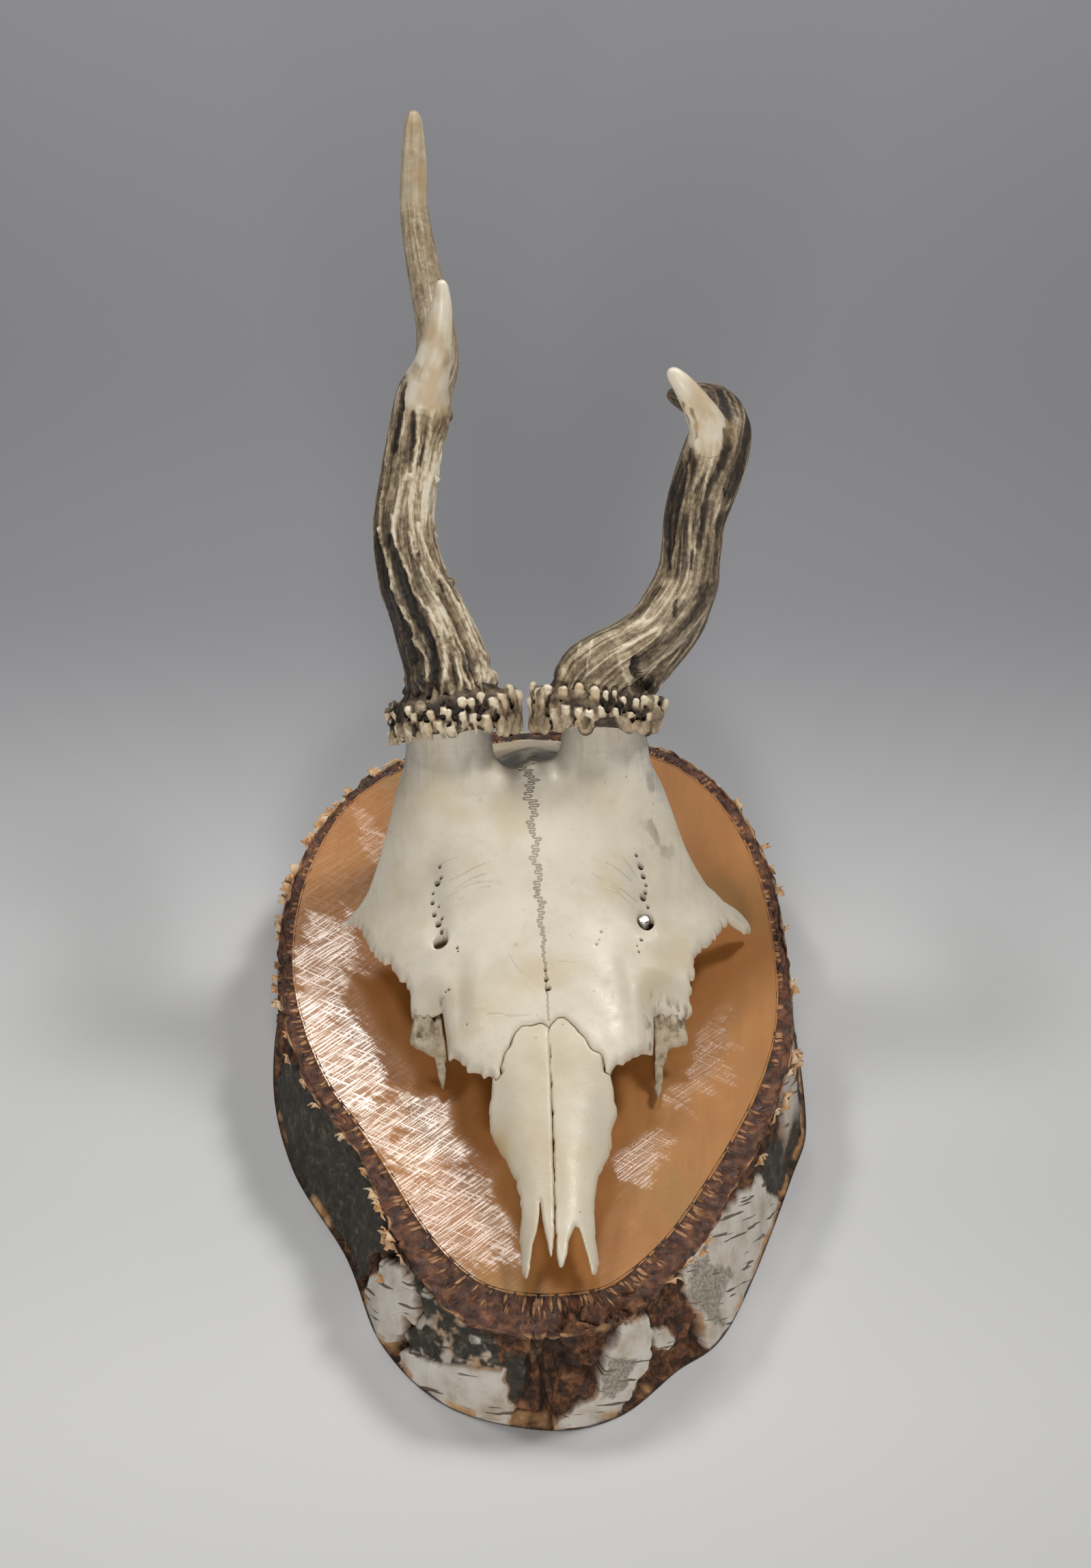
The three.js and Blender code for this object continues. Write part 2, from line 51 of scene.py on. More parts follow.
PLAQUE = 20.0
NASION = np.array([0.4, -18.9, PLAQUE])
SKULL_TURN = math.radians(2.7)

# The photograph's view. What is said to be in the picture's pixels was read off it.
VIEW_DOWN = math.radians(46)
VIEW_DISTANCE = 1100
VIEW_TARGET = np.array([0, 45.5, 45])
VIEW_WAY = np.array([0, math.cos(VIEW_DOWN), -math.sin(VIEW_DOWN)])
VIEW_UP = np.array([0, math.sin(VIEW_DOWN), math.cos(VIEW_DOWN)])
EYE = VIEW_TARGET - VIEW_DISTANCE * VIEW_WAY
LENS = 117.97
SENSOR = 36
CLIP_NEAR, CLIP_FAR = 0.01, 20  # in metres
PICTURE = np.array([1597, 2296])
FOCAL_PIXELS = LENS / SENSOR * PICTURE[1]

SEEDS = dict(suture=7, flakes=11, right=101, left=103)
# Steps of the grids that the bodies are found on.
CELL = dict(frontals=0.36, parietal=0.5, nasal=0.3, lacrimal=0.25, antler=0.34, coronet=0.25)

# The rim: x and y on the face, x and y on the back, width of the bark.
RIM = [
    (53, 8, 56, -8, 3.5),
    (50, -20, 52, -28, 5.5),
    (37, -52, 38.5, -66, 7),
    (26, -70, 27, -78, 8),
    (14, -82, 15, -89.5, 10.5),
    (-4, -85, 0, -93, 11.5),
    (-19, -79, -20, -87, 10.5),
    (-30, -63, -34, -71, 8),
    (-39, -38, -42, -48, 4.5),
    (-52, -15, -54, -24, 5),
    (-58, 14, -59, 2, 4),
    (-55, 44, -56, 32, 3.5),
    (-42, 70, -42, 56, 3),
    (-18, 85, -18, 70, 4.5),
    (14, 86, 14, 71, 4.5),
    (36, 74, 36, 60, 4),
    (49, 47, 51, 34, 3.5),
]
TRUNK = np.array([0.05, 0.6, 0.8])  # the way the trunk grew

# The cap's upper surface, at distances y behind the nasion: its height on the midline, and
# how far it falls from there to a place at the reference distance from the midline.
MIDLINE = [(-62, 8.5), (-45, 10.5), (-30, 13), (-15, 16), (0, 18.5), (15, 21), (30, 25),
           (45, 30.5), (57, 34), (66, 31.5), (80, 22), (88, 14.5), (95, 6), (97, 3)]
FALL = [(-62, 5), (-40, 6), (-25, 8.4), (0, 9), (30, 8.5), (45, 12.5), (62, 12.5)]
REFERENCE = [(-62, 9.5), (-50, 8.5), (-40, 10), (-25, 14), (-12, 20), (0, 30), (20, 30),
             (45, 33), (62, 33)]
FALL_POWER = 2.3
BRAINCASE = [(40, 29), (60, 29.5), (72, 28), (80, 26), (88, 20.5), (94, 13), (97, 5)]
BRAINCASE_POWER = 2.4
SHELL_FRONT, SHELL_REAR = 1.5, 3.0  # the cap's thickness in front and behind
LOWEST = 0.3  # how near the bones come to the wood
CORONAL_SUTURE = 72
MIDLINE_SUTURE = [(-55, -1.0), (-34, -0.2), (-16, 0.2), (10, 0.3), (30, -0.2), (47, -0.8),
                  (62, -1.2)]

FRONTALS = [
    (0, 62), (-25, 57), (-32.5, 47), (-35.5, 43.6), (-38.5, 42.1), (-42.2, 41.4), (-40, 40),
    (-38.2, 37.6), (-37, 34.7), (-35, 28.5), (-33.4, 26.8), (-31.5, 24.6), (-30.2, 22.2),
    (-29, 20), (-28.2, 17.6), (-27.9, 15.5), (-27.6, 12.2), (-24.4, 11.6), (-21.4, 11),
    (-20.8, 4), (-20.6, -1.4), (-19.5, -1.2), (-18, -3.4), (-16.4, -5.3), (-14.2, -6.6),
    (-13.6, -8.2), (-12.4, -7.6), (-11.1, -9.5), (-10.4, -8.4), (-9.6, -4.8), (-8.1, -2.7),
    (-7, 0), (-5.4, 1.6), (-3, 1.7), (-1.2, 2.4), (0.3, 1.2), (1.9, 3.1), (3.5, 3.4),
    (5.7, 1.3), (7.7, -1.6), (9.2, -3.8), (11.1, -5.2), (11.6, -8.4), (12.6, -8.6),
    (14, -5.6), (15.6, -6), (16.2, -4.2), (17.3, -3.4), (19.2, -2), (21.9, -0.6),
    (22.4, 4.5), (22.6, 9), (24, 10.5), (28.9, 10.6), (30.9, 13.6), (31.1, 16.9),
    (30.8, 19), (31.6, 20.8), (31.4, 22.3), (32.8, 25.3), (34.8, 28), (37, 31.2),
    (38.4, 33.8), (40.2, 38), (41.6, 38), (43.8, 38.2), (45.9, 39.6), (45.2, 41.2),
    (43.2, 42.4), (41, 41.9), (38.5, 42.4), (36, 43.4), (33.5, 45.5), (31, 48), (25, 57),
]
NASAL_RIGHT = [
    (0.6, 4), (-5, 4), (-9, 0), (-11.6, -8), (-12.4, -13.9), (-13, -16.7), (-12.1, -20.7),
    (-11, -24.3), (-9.2, -28.5), (-8, -32.3), (-7.4, -36.6), (-7.4, -40.8), (-7.9, -46),
    (-8, -50), (-7.7, -52.8), (-6.8, -55.3), (-5.9, -52.4), (-5.1, -47.7), (-4.2, -45.2),
    (-3.5, -41.5), (-3.4, -38.7), (-3.1, -42.9), (-2.8, -45.7), (-2.3, -49.7),
    (-1.7, -52.7), (-1.1, -50), (-0.5, -44), (0, -20),
]
NASAL_LEFT = [
    (-0.4, 4), (0.1, -20), (-0.6, -44), (-0.7, -51.7), (-0.2, -54.7), (0.7, -54.2),
    (1.5, -51.4), (2.1, -48.2), (3.6, -44.5), (4.1, -44.6), (4.8, -47.4), (5.7, -51.1),
    (6.3, -54.8), (7.3, -54), (8.1, -51.4), (8.1, -48.5), (7.8, -42.9), (7.8, -38.1),
    (8.5, -33.4), (10, -28.2), (11.7, -24.8), (12.3, -20.7), (13.5, -16.3), (13.3, -13.5),
    (12.4, -8), (9, 0), (5, 4),
]
LACRIMAL_RIGHT = [(-27.3, 12.5), (-28.4, 9.5), (-28.3, 7.8), (-27, 6.6), (-24.6, 5.6), (-23.4, 4.5),
                  (-22.8, 1.5), (-21.9, -0.8), (-21.2, 0.8), (-20.9, 4.4), (-21.2, 12)]
LACRIMAL_LEFT = [(28.7, 12), (29.8, 8), (29.5, 5.8), (26.6, 5.4), (25.5, 4.6), (24.3, 1.4),
                 (23.6, -4), (22.7, -5.8), (22, -3), (22.4, -0.8), (22.6, 4), (22.6, 10), (24, 12)]
LACRIMAL_SLOPE = dict(x=22, y=11, z=11, rise=0.7, fall=0.15, lowest=2.4)

PEDICLES = {
    "right": [(-20, 45.5, 14, 13), (-19.3, 51.5, 20, 12.2), (-18.7, 57.5, 25.8, 11.2),
              (-18, 63, 31, 9.7), (-17.6, 69.5, 37.4, 9), (-17.3, 73, 40.8, 9)],
    "left": [(17.2, 44, 14, 13), (16.6, 50, 20, 12.2), (16.2, 56, 25.8, 11.2),
             (15.4, 61.5, 31, 9.7), (15.2, 68.5, 38, 9), (15, 72, 41.6, 9)],
}

PIN = dict(x=21.6, y=28.7, radius=1.2, top=20.2, depth=12, bevel=0.25, sides=48)
# The two large holes, the left one round the nail: x, y and radius of the painted shade that darkens
# their insides.
WIDE_HOLES = [(-21.2, 25.2, 1.9), (PIN["x"] + 0.35, 28.2, 2.1)]
# Small holes of the supraorbital grooves, each x, y and radius.
FORAMINA = [
    (-21.5, 29.2, 0.75), (-20.7, 30, 0.4), (-22.3, 31.2, 0.55), (-22.6, 33.4, 0.5),
    (-21.3, 32.4, 0.3), (-22.4, 35, 0.35), (-21.4, 36.7, 0.7), (-20.6, 37.4, 0.4),
    (-20.8, 39.4, 0.4), (-20.9, 27.6, 0.45), (-17.8, 22.3, 0.35), (-17.7, 21.5, 0.25),
    (-20.6, 13.6, 0.3), (-19.9, 13.9, 0.3), (-16.6, 4, 0.3),
    (21.6, 32.6, 0.75), (22.2, 33.6, 0.45), (22.4, 35, 0.4), (21.9, 36.6, 0.6),
    (21.4, 38.3, 0.7), (20.6, 40, 0.4), (22.6, 31, 0.4), (20.8, 23.4, 0.4), (20.1, 20.6, 0.3),
    (19.8, 21.8, 0.22), (11.2, 20.6, 0.35), (12.4, 23.6, 0.3), (11.8, 21.6, 0.25),
    (0.35, 12.4, 0.55), (0.6, 10.2, 0.7), (0.2, 14.6, 0.35),
]

# Lines on the skull as the photograph shows them, in its pixels: vessels that fan
# out from the foramina with two old cracks, and fine cracks at the back of the dome.
VESSELS = [
    [(657, 1290), (676, 1281), (695, 1270), (716, 1262)],
    [(655, 1314), (683, 1297), (700, 1292), (720, 1291)],
    [(668, 1301), (690, 1286), (712, 1279)],
    [(672, 1318), (700, 1301), (716, 1298)],
    [(640, 1268), (652, 1262), (668, 1256)],
    [(866, 1279), (887, 1289), (908, 1301), (932, 1320)],
    [(872, 1284), (892, 1298), (906, 1303)],
    [(879, 1303), (904, 1307), (926, 1327)],
    [(905, 1249), (920, 1266), (932, 1285)],
    [(886, 1262), (903, 1272), (924, 1290)],
    [(714, 1485), (733, 1484), (749, 1488), (768, 1486), (790, 1484)],
    [(800, 1410), (826, 1407), (845, 1411)],
    [(745, 1398), (758, 1420), (775, 1432)],
]
PARIETAL_CRACKS = [
    [(808, 1101), (815, 1099), (820, 1093), (817, 1088)],
    [(812, 1108), (815, 1102), (822, 1104)],
]

# Brown spots on the forehead and near its front edge, in the picture's pixels.
FOREHEAD_SPOT = (755.5, 1383.5)
FRONT_SPOT = (706, 1531)

# Each coronet's centre and radius, and how far it tips to one side.
CORONETS = {"right": (-19.7, 51.9, 59.5, 14.5), "left": (11.0, 52.7, 60.3, 14.7)}
CORONET_TIP = {"right": math.radians(7), "left": math.radians(-3)}
CORONET_COUNTS = dict(lumps=46, folds=10, knobs=9, far_pearls=13, teeth=46, crumbs=130, ribs=90,
                      recesses=110)
# The coronet's radius without its pearls, at heights along its axis.
CORONET_WAIST = [(-6.5, 9.4), (-4.4, 11.0), (-1.5, 12.2), (1.5, 12.3), (3.6, 11.2), (6.5, 9.3)]
LEAN = np.array([0, 0.719, 0.695]) / math.hypot(0.719, 0.695)  # the way the antlers rise
SIDEWAYS = np.array([1.0, 0, 0])
# The seen pearls, in the photograph's pixels: place, radius and how far the rib below runs.
PEARLS = {
    "right": [
        (677, 1028, 7.5, 9), (691, 1028, 6, 12), (705, 1021, 7.5, 10), (722, 1030, 7.5, 24),
        (745, 1010, 9, 30), (758, 1018, 8, 40), (734, 1022, 6.5, 34), (631, 1047, 6.5, 12),
        (650, 1042, 5, 8), (659, 1044, 5, 16), (626, 1065, 8, 18), (584, 1067, 6.5, 14),
        (572, 1074, 5.5, 12), (567, 1050, 4.5, 8), (579, 1046, 5.5, 8), (598, 1041, 5.5, 12),
        (608, 1050, 5, 14), (678, 1048, 5.5, 18), (694, 1052, 5.5, 20), (712, 1054, 6, 18),
        (643, 1063, 6, 18), (661, 1066, 6, 14), (600, 1068, 6, 20),
    ],
    "left": [
        (847, 1008, 7.5, 12), (824, 1011, 6.5, 10), (870, 1013, 7.5, 20), (911, 1026, 6, 4),
        (886, 1017, 5, 12), (801, 1010, 8, 44), (781, 1004, 7, 30), (788, 1014, 7, 50),
        (898, 1015, 4, 8), (930, 1028, 5.5, 12), (941, 1024, 5.5, 22), (958, 1023, 6, 24),
        (974, 1028, 5.5, 12), (968, 1040, 6, 20), (778, 1026, 8, 44), (846, 1044, 6.5, 14),
        (828, 1040, 6, 20), (813, 1046, 6.5, 24), (862, 1046, 5.5, 12), (880, 1040, 5, 14),
        (900, 1042, 5.5, 16), (922, 1046, 6, 18), (946, 1050, 6, 20),
    ],
}
# The seen edge of each coronet's frill, in the photograph's pixels.
FRILL_EDGE = {
    "right": [(575, 1092), (600, 1090), (625, 1086), (650, 1077), (680, 1070), (715, 1066),
              (745, 1076), (762, 1070)],
    "left": [(775, 1068), (795, 1074), (815, 1066), (840, 1062), (875, 1058), (900, 1060),
             (930, 1068), (955, 1076), (972, 1062)],
}

BEAM_RIGHT = [
    (-19.8, 51.9, 59.5, 9.2), (-21, 57.5, 66.5, 9.2), (-24.5, 64, 75, 8.2),
    (-28.5, 70, 84, 7.2), (-30, 76.5, 91.5, 6.6), (-29, 83.5, 98.5, 6.2),
    (-27.5, 91.5, 105, 5.9), (-26, 100, 107.5, 5.9), (-23.5, 109, 107.5, 5),
    (-23.5, 118.5, 108.5, 4.4), (-25, 128, 110.5, 4), (-27, 137, 115.5, 3.6),
    (-28.5, 145, 121.5, 3.2), (-28.5, 151.5, 129.5, 2.9), (-28.5, 156, 135, 2.2),
    (-28.5, 157.6, 136.8, 1.5),
]
FRONT_TINE_RIGHT = [
    (-26.5, 93.5, 106.5, 4.5), (-25.5, 95.5, 112.5, 4.8), (-23.8, 96, 120, 4),
    (-22.6, 97.5, 126.5, 3.1), (-21.8, 99.3, 132, 2.4), (-21.7, 101, 136, 1.7),
    (-21.7, 101.4, 137, 1.3),
]
RIDGE_LEFT = [
    (11, 52.7, 60.3, 9), (10, 54.5, 67, 8.4), (12.5, 56, 70.5, 7.2), (17.5, 59, 72, 6.4),
    (23, 63, 74, 6.2),
]
STRUT_LEFT = [
    (15, 57, 57, 6), (18.5, 61, 60, 5.6), (22.3, 64.5, 63.3, 5.4), (26, 67, 67.5, 5.6),
    (28.8, 68.5, 73, 6), (30.3, 70.5, 80.5, 6.2),
]
BEAM_LEFT = [
    (27.5, 67, 78.5, 6.6), (30, 70.5, 82, 6.6), (31, 74.5, 87, 6.5), (31.5, 78.5, 91, 6.6),
    (33, 82.5, 94.5, 7), (35, 86.5, 98.5, 7.2), (36.5, 90.5, 101, 7), (37.5, 95.5, 102, 6.3),
    (36.5, 104, 100, 5.2), (33.5, 110.5, 96.5, 4.2), (30.2, 113.6, 94.8, 3),
    (28, 114.6, 94.6, 1.9),
]
FRONT_TINE_LEFT = [
    (35.5, 87.5, 102, 4.4), (34.5, 88, 108.5, 4.2), (32, 88.5, 114.5, 3.3),
    (29, 89.5, 119.5, 2.4), (27.2, 90.3, 121.6, 1.8), (26.7, 90.5, 122.1, 1.45),
]

# Crests and furrows and one painted highlight on the antlers' seen sides, where the photograph
# shows them, in its pixels: half width of the mark in pixels, its height in mm, its change of tone, its
# line.
MARKS_RIGHT = [
    (3.2, 0.55, 0.50, [(554, 773), (560, 802), (568, 832), (573, 860), (579, 880), (591, 899), (603, 918),
                       (606, 935), (618, 953), (625, 973), (623, 997)]),
    (3.2, 0.50, 0.48, [(573, 753), (577, 780), (582, 804), (594, 832), (603, 860), (613, 877), (630, 894),
                       (641, 918), (649, 942), (653, 966), (649, 994), (646, 1018)]),
    (3.0, 0.42, 0.42, [(601, 780), (606, 808), (620, 835), (634, 863), (647, 891), (658, 918), (666, 942),
                       (675, 966), (680, 987), (689, 1011)]),
    (3.0, 0.40, 0.40, [(613, 767), (623, 801), (637, 832), (658, 860), (672, 884), (682, 908), (692, 935),
                       (703, 959), (709, 984), (716, 1004)]),
    (2.6, 0.30, 0.34, [(665, 956), (672, 980), (675, 1004)]),
    (4.5, 0.25, 0.26, [(672, 884), (689, 904), (706, 928), (718, 949), (723, 973)]),
    (2.2, 0.15, 0.26, [(572, 594), (566, 640), (563, 680)]),
    (4.5, 0.15, 0.36, [(615, 590), (612, 625), (609, 665), (605, 715), (602, 752)]),
    (3.5, 0.12, 0.30, [(632, 600), (629, 640), (625, 680), (617, 718)]),
    (7.5, -0.60, -0.55, [(571, 787), (582, 829), (593, 860), (602, 890), (622, 922), (633, 946)]),
    (7.0, -0.45, -0.50, [(549, 780), (556, 825), (566, 865), (583, 900), (598, 935), (606, 965)]),
    (4.5, -0.30, -0.50, [(605, 604), (604, 640), (603, 668), (600, 690)]),
    (5.0, -0.20, -0.45, [(589, 562), (585, 600), (581, 628), (575, 660)]),
    (3.0, -0.25, -0.40, [(622, 653), (616, 680)]),
    (4.0, -0.30, -0.40, [(611, 812), (615, 826)]),
    (3.0, -0.30, -0.40, [(645, 850), (651, 865)]),
    (7.0, -0.45, -0.42, [(634, 940), (636, 975), (634, 1018)]),
    (4.5, -0.40, -0.38, [(660, 935), (664, 965), (667, 1000)]),
    (4.0, -0.40, -0.34, [(683, 960), (690, 990), (702, 1010)]),
    (4.0, -0.30, -0.36, [(592, 553), (586, 575), (588, 600)]),
]
MARKS_LEFT = [
    (4.0, 0.20, 0.20, [(1017, 615), (1021, 660), (1014, 710), (1011, 760), (1008, 810)]),
    (6.0, 0.10, 0.30, [(1000, 650), (1006, 700), (1004, 745)]),
    (3.0, 0.30, 0.20, [(1048, 640), (1040, 690), (1027, 730), (1021, 770), (1016, 810)]),
    (8.5, -0.55, -0.62, [(1067, 632), (1066, 655), (1058, 682)]),
    (5.5, -0.30, -0.40, [(1055, 572), (1064, 596), (1068, 620)]),
    (5.5, -0.25, -0.32, [(1052, 690), (1036, 724), (1028, 765), (1024, 800)]),
    (3.2, -0.22, -0.50, [(1012, 600), (1018, 618), (1020, 640)]),
    (2.4, -0.20, -0.48, [(998, 590), (1003, 612), (1006, 628)]),
    (2.4, -0.20, -0.38, [(1009, 660), (1003, 690), (994, 722), (988, 750)]),
    (2.4, -0.20, -0.34, [(985, 714), (979, 762), (978, 800), (977, 835)]),
    (2.0, -0.20, -0.34, [(993, 740), (988, 775), (984, 800)]),
    (2.6, -0.25, -0.44, [(1013, 806), (1012, 832)]),
    (2.6, -0.25, -0.40, [(980, 806), (979, 832)]),
    (3.6, -0.25, -0.46, [(990, 880), (987, 900)]),
    (2.0, -0.15, -0.36, [(1059, 716), (1062, 726)]),
    (3.0, -0.15, -0.30, [(1066, 576), (1076, 595), (1080, 610)]),
    (9.0, -0.12, -0.24, [(1038, 860), (1018, 902), (990, 926), (962, 944), (940, 962)]),
    (5.0, -0.15, -0.22, [(965, 862), (948, 884), (925, 905)]),
    # Painted highlight: a pale stroke with no relief where the foot bends into the beam.
    (12.0, 0.0, 0.26, [(925, 916), (948, 902), (970, 880), (982, 856)]),
    (9.0, 0.0, 0.12, [(888, 925), (905, 930), (915, 950), (922, 985)]),
    (3.0, 0.25, 0.24, [(905, 955), (912, 985), (925, 1005), (940, 1015)]),
    (2.0, 0.20, 0.22, [(868, 935), (862, 960), (858, 990)]),
    (2.0, 0.20, 0.22, [(848, 940), (842, 965), (840, 985)]),
    (3.5, -0.35, -0.40, [(806, 985), (808, 960), (818, 945)]),
    (7.0, -1.20, -0.55, [(931, 966), (928, 978), (934, 990)]),
]

# Patches of the bark's seen wall, outlined where the photograph shows them, in its pixels.
GREY_BARK = [
    [(418, 1552), (439, 1573), (457, 1597), (482, 1639), (502, 1667), (523, 1698), (540, 1729),
     (554, 1767), (563, 1800), (560, 1832), (540, 1838), (533, 1865), (520, 1872), (505, 1837),
     (482, 1802), (455, 1774), (425, 1740), (405, 1700), (395, 1640), (398, 1580)],
    [(603, 1875), (627, 1900), (662, 1927), (700, 1950), (728, 1975), (732, 2008), (690, 2002),
     (660, 2000), (627, 1994), (599, 1976), (589, 1955), (608, 1941), (613, 1920)],
    [(1134, 1672), (1165, 1668), (1166, 1719), (1145, 1753), (1127, 1747), (1116, 1719)],
    [(738, 1985), (770, 1990), (765, 2040), (748, 2060), (736, 2030)],
]
WHITE_BARK = [
    [(554, 1851), (575, 1851), (592, 1868), (603, 1889), (613, 1927), (606, 1941), (589, 1934),
     (585, 1955), (575, 1965), (552, 1969), (540, 1948), (530, 1920), (532, 1890), (545, 1868)],
    [(575, 1978), (599, 1980), (640, 1995), (690, 2003), (735, 2010), (745, 2040), (750, 2090),
     (700, 2086), (655, 2070), (615, 2046), (580, 2012)],
    [(913, 1941), (940, 1930), (956, 1930), (962, 1952), (955, 1985), (942, 2022), (925, 2050),
     (908, 2072), (873, 2092), (810, 2108), (806, 2088), (850, 2062), (876, 2040), (890, 1987)],
    [(1002, 1872), (1006, 1844), (1030, 1813), (1058, 1781), (1086, 1753), (1100, 1740),
     (1118, 1719), (1130, 1748), (1150, 1760), (1146, 1802), (1130, 1837), (1116, 1879),
     (1104, 1907), (1092, 1934), (1080, 1962), (1060, 1990), (1038, 1985), (1030, 1941),
     (1016, 1907), (1006, 1886)],
    [(955, 1950), (978, 1948), (990, 1965), (980, 1982), (962, 1972)],
]
LICHEN = [
    [(1012, 1850), (1030, 1842), (1052, 1850), (1072, 1865), (1058, 1893), (1050, 1915),
     (1061, 1941), (1030, 1930), (1012, 1890)],
    [(893, 1990), (935, 1990), (922, 2030), (880, 2050)],
    [(640, 1930), (690, 1955), (700, 1985), (655, 1975)],
]
# How many places round the rim and down the ring, the wall and the back make the bark.
BARK_COLUMNS, RING_ROWS, WALL_ROWS, BACK_ROWS = 1300, 26, 76, 5
WALL_INSET = 0.6  # the wall stands this far inside the rim, which leaves room for relief

# Scraps of bark: stretch of the rim, their number, deepest place and greatest length.
FLAKE_STRETCHES = [
    (10.3, 12.9, 46, 0.35, 7), (8.2, 10.2, 12, 0.2, 3), (0.0, 1.5, 13, 0.5, 5),
    (15.0, 16.8, 9, 0.3, 4), (16.85, 17.0, 3, 0.05, 6), (2.3, 3.1, 6, 0.1, 4),
    (6.9, 8.2, 10, 0.15, 5), (7.0, 7.9, 5, 0.9, 5),
]
FLAKE_COLUMNS = 1000
FLAKE_GRID = (9, 6)
FLAKE_THICKNESS = 0.22
FLAKE_BOX = (np.array([-58.3, -92.4, 0.1]), np.array([55.4, 159, PLAQUE + 0.3]))

# The lights, in metres: name, kind, strength, place, target, sides of a softbox or angle
# of a sun in degrees, and the spread that a softbox's honeycomb grid leaves, in degrees.
LIGHT_COLOR = (1.0, 0.95, 0.88)
LIGHTS = [
    ("left", "AREA", 0.10, (-0.52, 0.62, 0.95), (0.2, -0.04, 0.0), (0.24, 0.24), 30),
    ("right", "AREA", 0.22, (0.52, 0.62, 0.95), (-0.2, -0.04, 0.0), (0.34, 0.34), 30),
    ("behind", "SUN", 0.46, (-0.12, 0.72, 0.86), (-0.01, 0.0, 0.02), 12, None),
    ("behind_right", "SUN", 0.62, (0.54, 0.54, 0.86), (0.0, 0.0, 0.02), 9, None),
    ("behind_left", "SUN", 0.34, (-0.50, 0.60, 0.86), (0.0, 0.0, 0.02), 9, None),
    ("front", "AREA", 0.40, (0.0, -1.15, 0.62), (0, 0.10, 0.09), (0.4, 0.3), 32),
]
SKY_COLOR = (0.9, 0.93, 1.0, 1)
SKY_STRENGTH = 0.03

# The floor's blue-grey in front, then the y where each next tone begins and is reached: painted shade,
# darkest just behind the plaque, where the light falls off.
FLOOR_FRONT = (0.76, 0.79, 0.84)
FLOOR_SHADE_TONES = [
    (-0.1, -0.02, (0.66, 0.69, 0.735)), (0.0, 0.16, (0.30, 0.317, 0.36)),
    (0.2, 0.45, (0.50, 0.53, 0.60)),
]
FLOOR_SIZE = 8
FLOOR_DROP = 0.0002  # keeps the floor clear of the wood's back

# ---------------------------------------------------------------- numbers and noise


def along(rows, place):
    """Smooth values at the given places, through rows of (place, value)."""
    at, value = np.array(rows, float).T
    last = len(at) - 1
    before = np.maximum(np.arange(last + 1) - 1, 0)
    after = np.minimum(np.arange(last + 1) + 1, last)
    slope = (value[after] - value[before]) / (at[after] - at[before])
    i = np.clip(np.searchsorted(at, place) - 1, 0, last - 1)
    span = at[i + 1] - at[i]
    t = np.clip((place - at[i]) / span, 0, 1)
    straight = value[i] + (value[i + 1] - value[i]) * t * t * (3 - 2 * t)
    leave = t * (1 - t) ** 2 * span * slope[i]
    arrive = t * t * (t - 1) * span * slope[i + 1]
    return straight + leave + arrive


def step(low, high, value):
    """0 below low, 1 above high and smooth between; low may be the larger one."""
    t = np.clip((value - low) / (high - low), 0, 1)
    return t * t * (3 - 2 * t)


def bell(value, width):
    """1 at 0, falling away smoothly on both sides."""
    return np.exp(-((value / width) ** 2))


def band(value, low, high, soft):
    """1 between two values, with soft ends."""
    return step(low - soft, low + soft, value) * step(high + soft, high - soft, value)


def noise(points, size, seed=0, octaves=1):
    """Smooth noise from -1 to 1 with features of the given size."""
    points = np.asarray(points, float)
    total = np.zeros(points.shape[:-1])
    whole = 0
    for octave in range(octaves):
        weight = 0.5**octave
        place = points / size * 2**octave + 31.7 * (seed + 3 * octave)
        cell = np.floor(place).astype(np.int64)
        part = place - cell
        part = part * part * (3 - 2 * part)
        for corner in np.ndindex(2, 2, 2):
            x, y, z = np.moveaxis(cell + np.array(corner), -1, 0)
            mixed = (x * 73856093) ^ (y * 19349663) ^ (z * 83492791)
            mixed = ((mixed ^ (mixed >> 13)) * 1274126177) & 0x7FFFFFFF
            mixed ^= mixed >> 15
            share = np.prod(np.where(corner, part, 1 - part), axis=-1)
            total += weight * share * ((mixed & 0xFFFF) / 32767.5 - 1)
        whole += weight
    return total / whole


def soft_min(a, b, reach):
    """The lesser of two distances, blended where they differ by less than reach."""
    h = np.clip(0.5 + 0.5 * (b - a) / reach, 0, 1)
    return b + (a - b) * h - reach * h * (1 - h)


def soft_max(a, b, reach):
    return -soft_min(-a, -b, reach)


def outline_distance(outline, x, y):
    """Distance to a closed outline in plan, negative inside it."""
    nearest = np.full(x.shape, 1e9)
    inside = np.zeros(x.shape, bool)
    for (ax, ay), (bx, by) in zip(outline, outline[1:] + outline[:1]):
        ex, ey = bx - ax, by - ay
        t = np.clip(((x - ax) * ex + (y - ay) * ey) / (ex * ex + ey * ey), 0, 1)
        nearest = np.minimum(nearest, (x - ax - t * ex) ** 2 + (y - ay - t * ey) ** 2)
        if ey:
            inside ^= ((ay > y) != (by > y)) & (x < ax + (y - ay) * ex / ey)
    return np.where(inside, -1, 1) * np.sqrt(nearest)


def to_world(local):
    """From the skull's frame to the model's."""
    cos, sin = math.cos(SKULL_TURN), math.sin(SKULL_TURN)
    x, y, z = np.moveaxis(np.asarray(local, float), -1, 0)
    return np.stack([cos * x - sin * y, sin * x + cos * y, z], axis=-1) + NASION


def in_picture(points):
    """Where places show in the photograph, in its pixels."""
    away = points - EYE
    scale = FOCAL_PIXELS / (away @ VIEW_WAY)
    across = PICTURE[0] / 2 + away[:, 0] * scale
    down = PICTURE[1] / 2 - (away @ VIEW_UP) * scale
    return np.stack([across, down], axis=1)


def gap_to(places, spot):
    """Distance in plan from places to one spot."""
    return np.hypot(places[:, 0] - spot[0], places[:, 1] - spot[1])


def flat_places(x, y):
    """Places in plan, as points that noise can be read at."""
    return np.stack([x, y, np.zeros_like(x)], axis=-1)


def column(layer):
    """A map in plan, ready to broadcast over a field's z."""
    return layer[..., None].astype(np.float32)


# --------------------------------------------------------------------------- fields


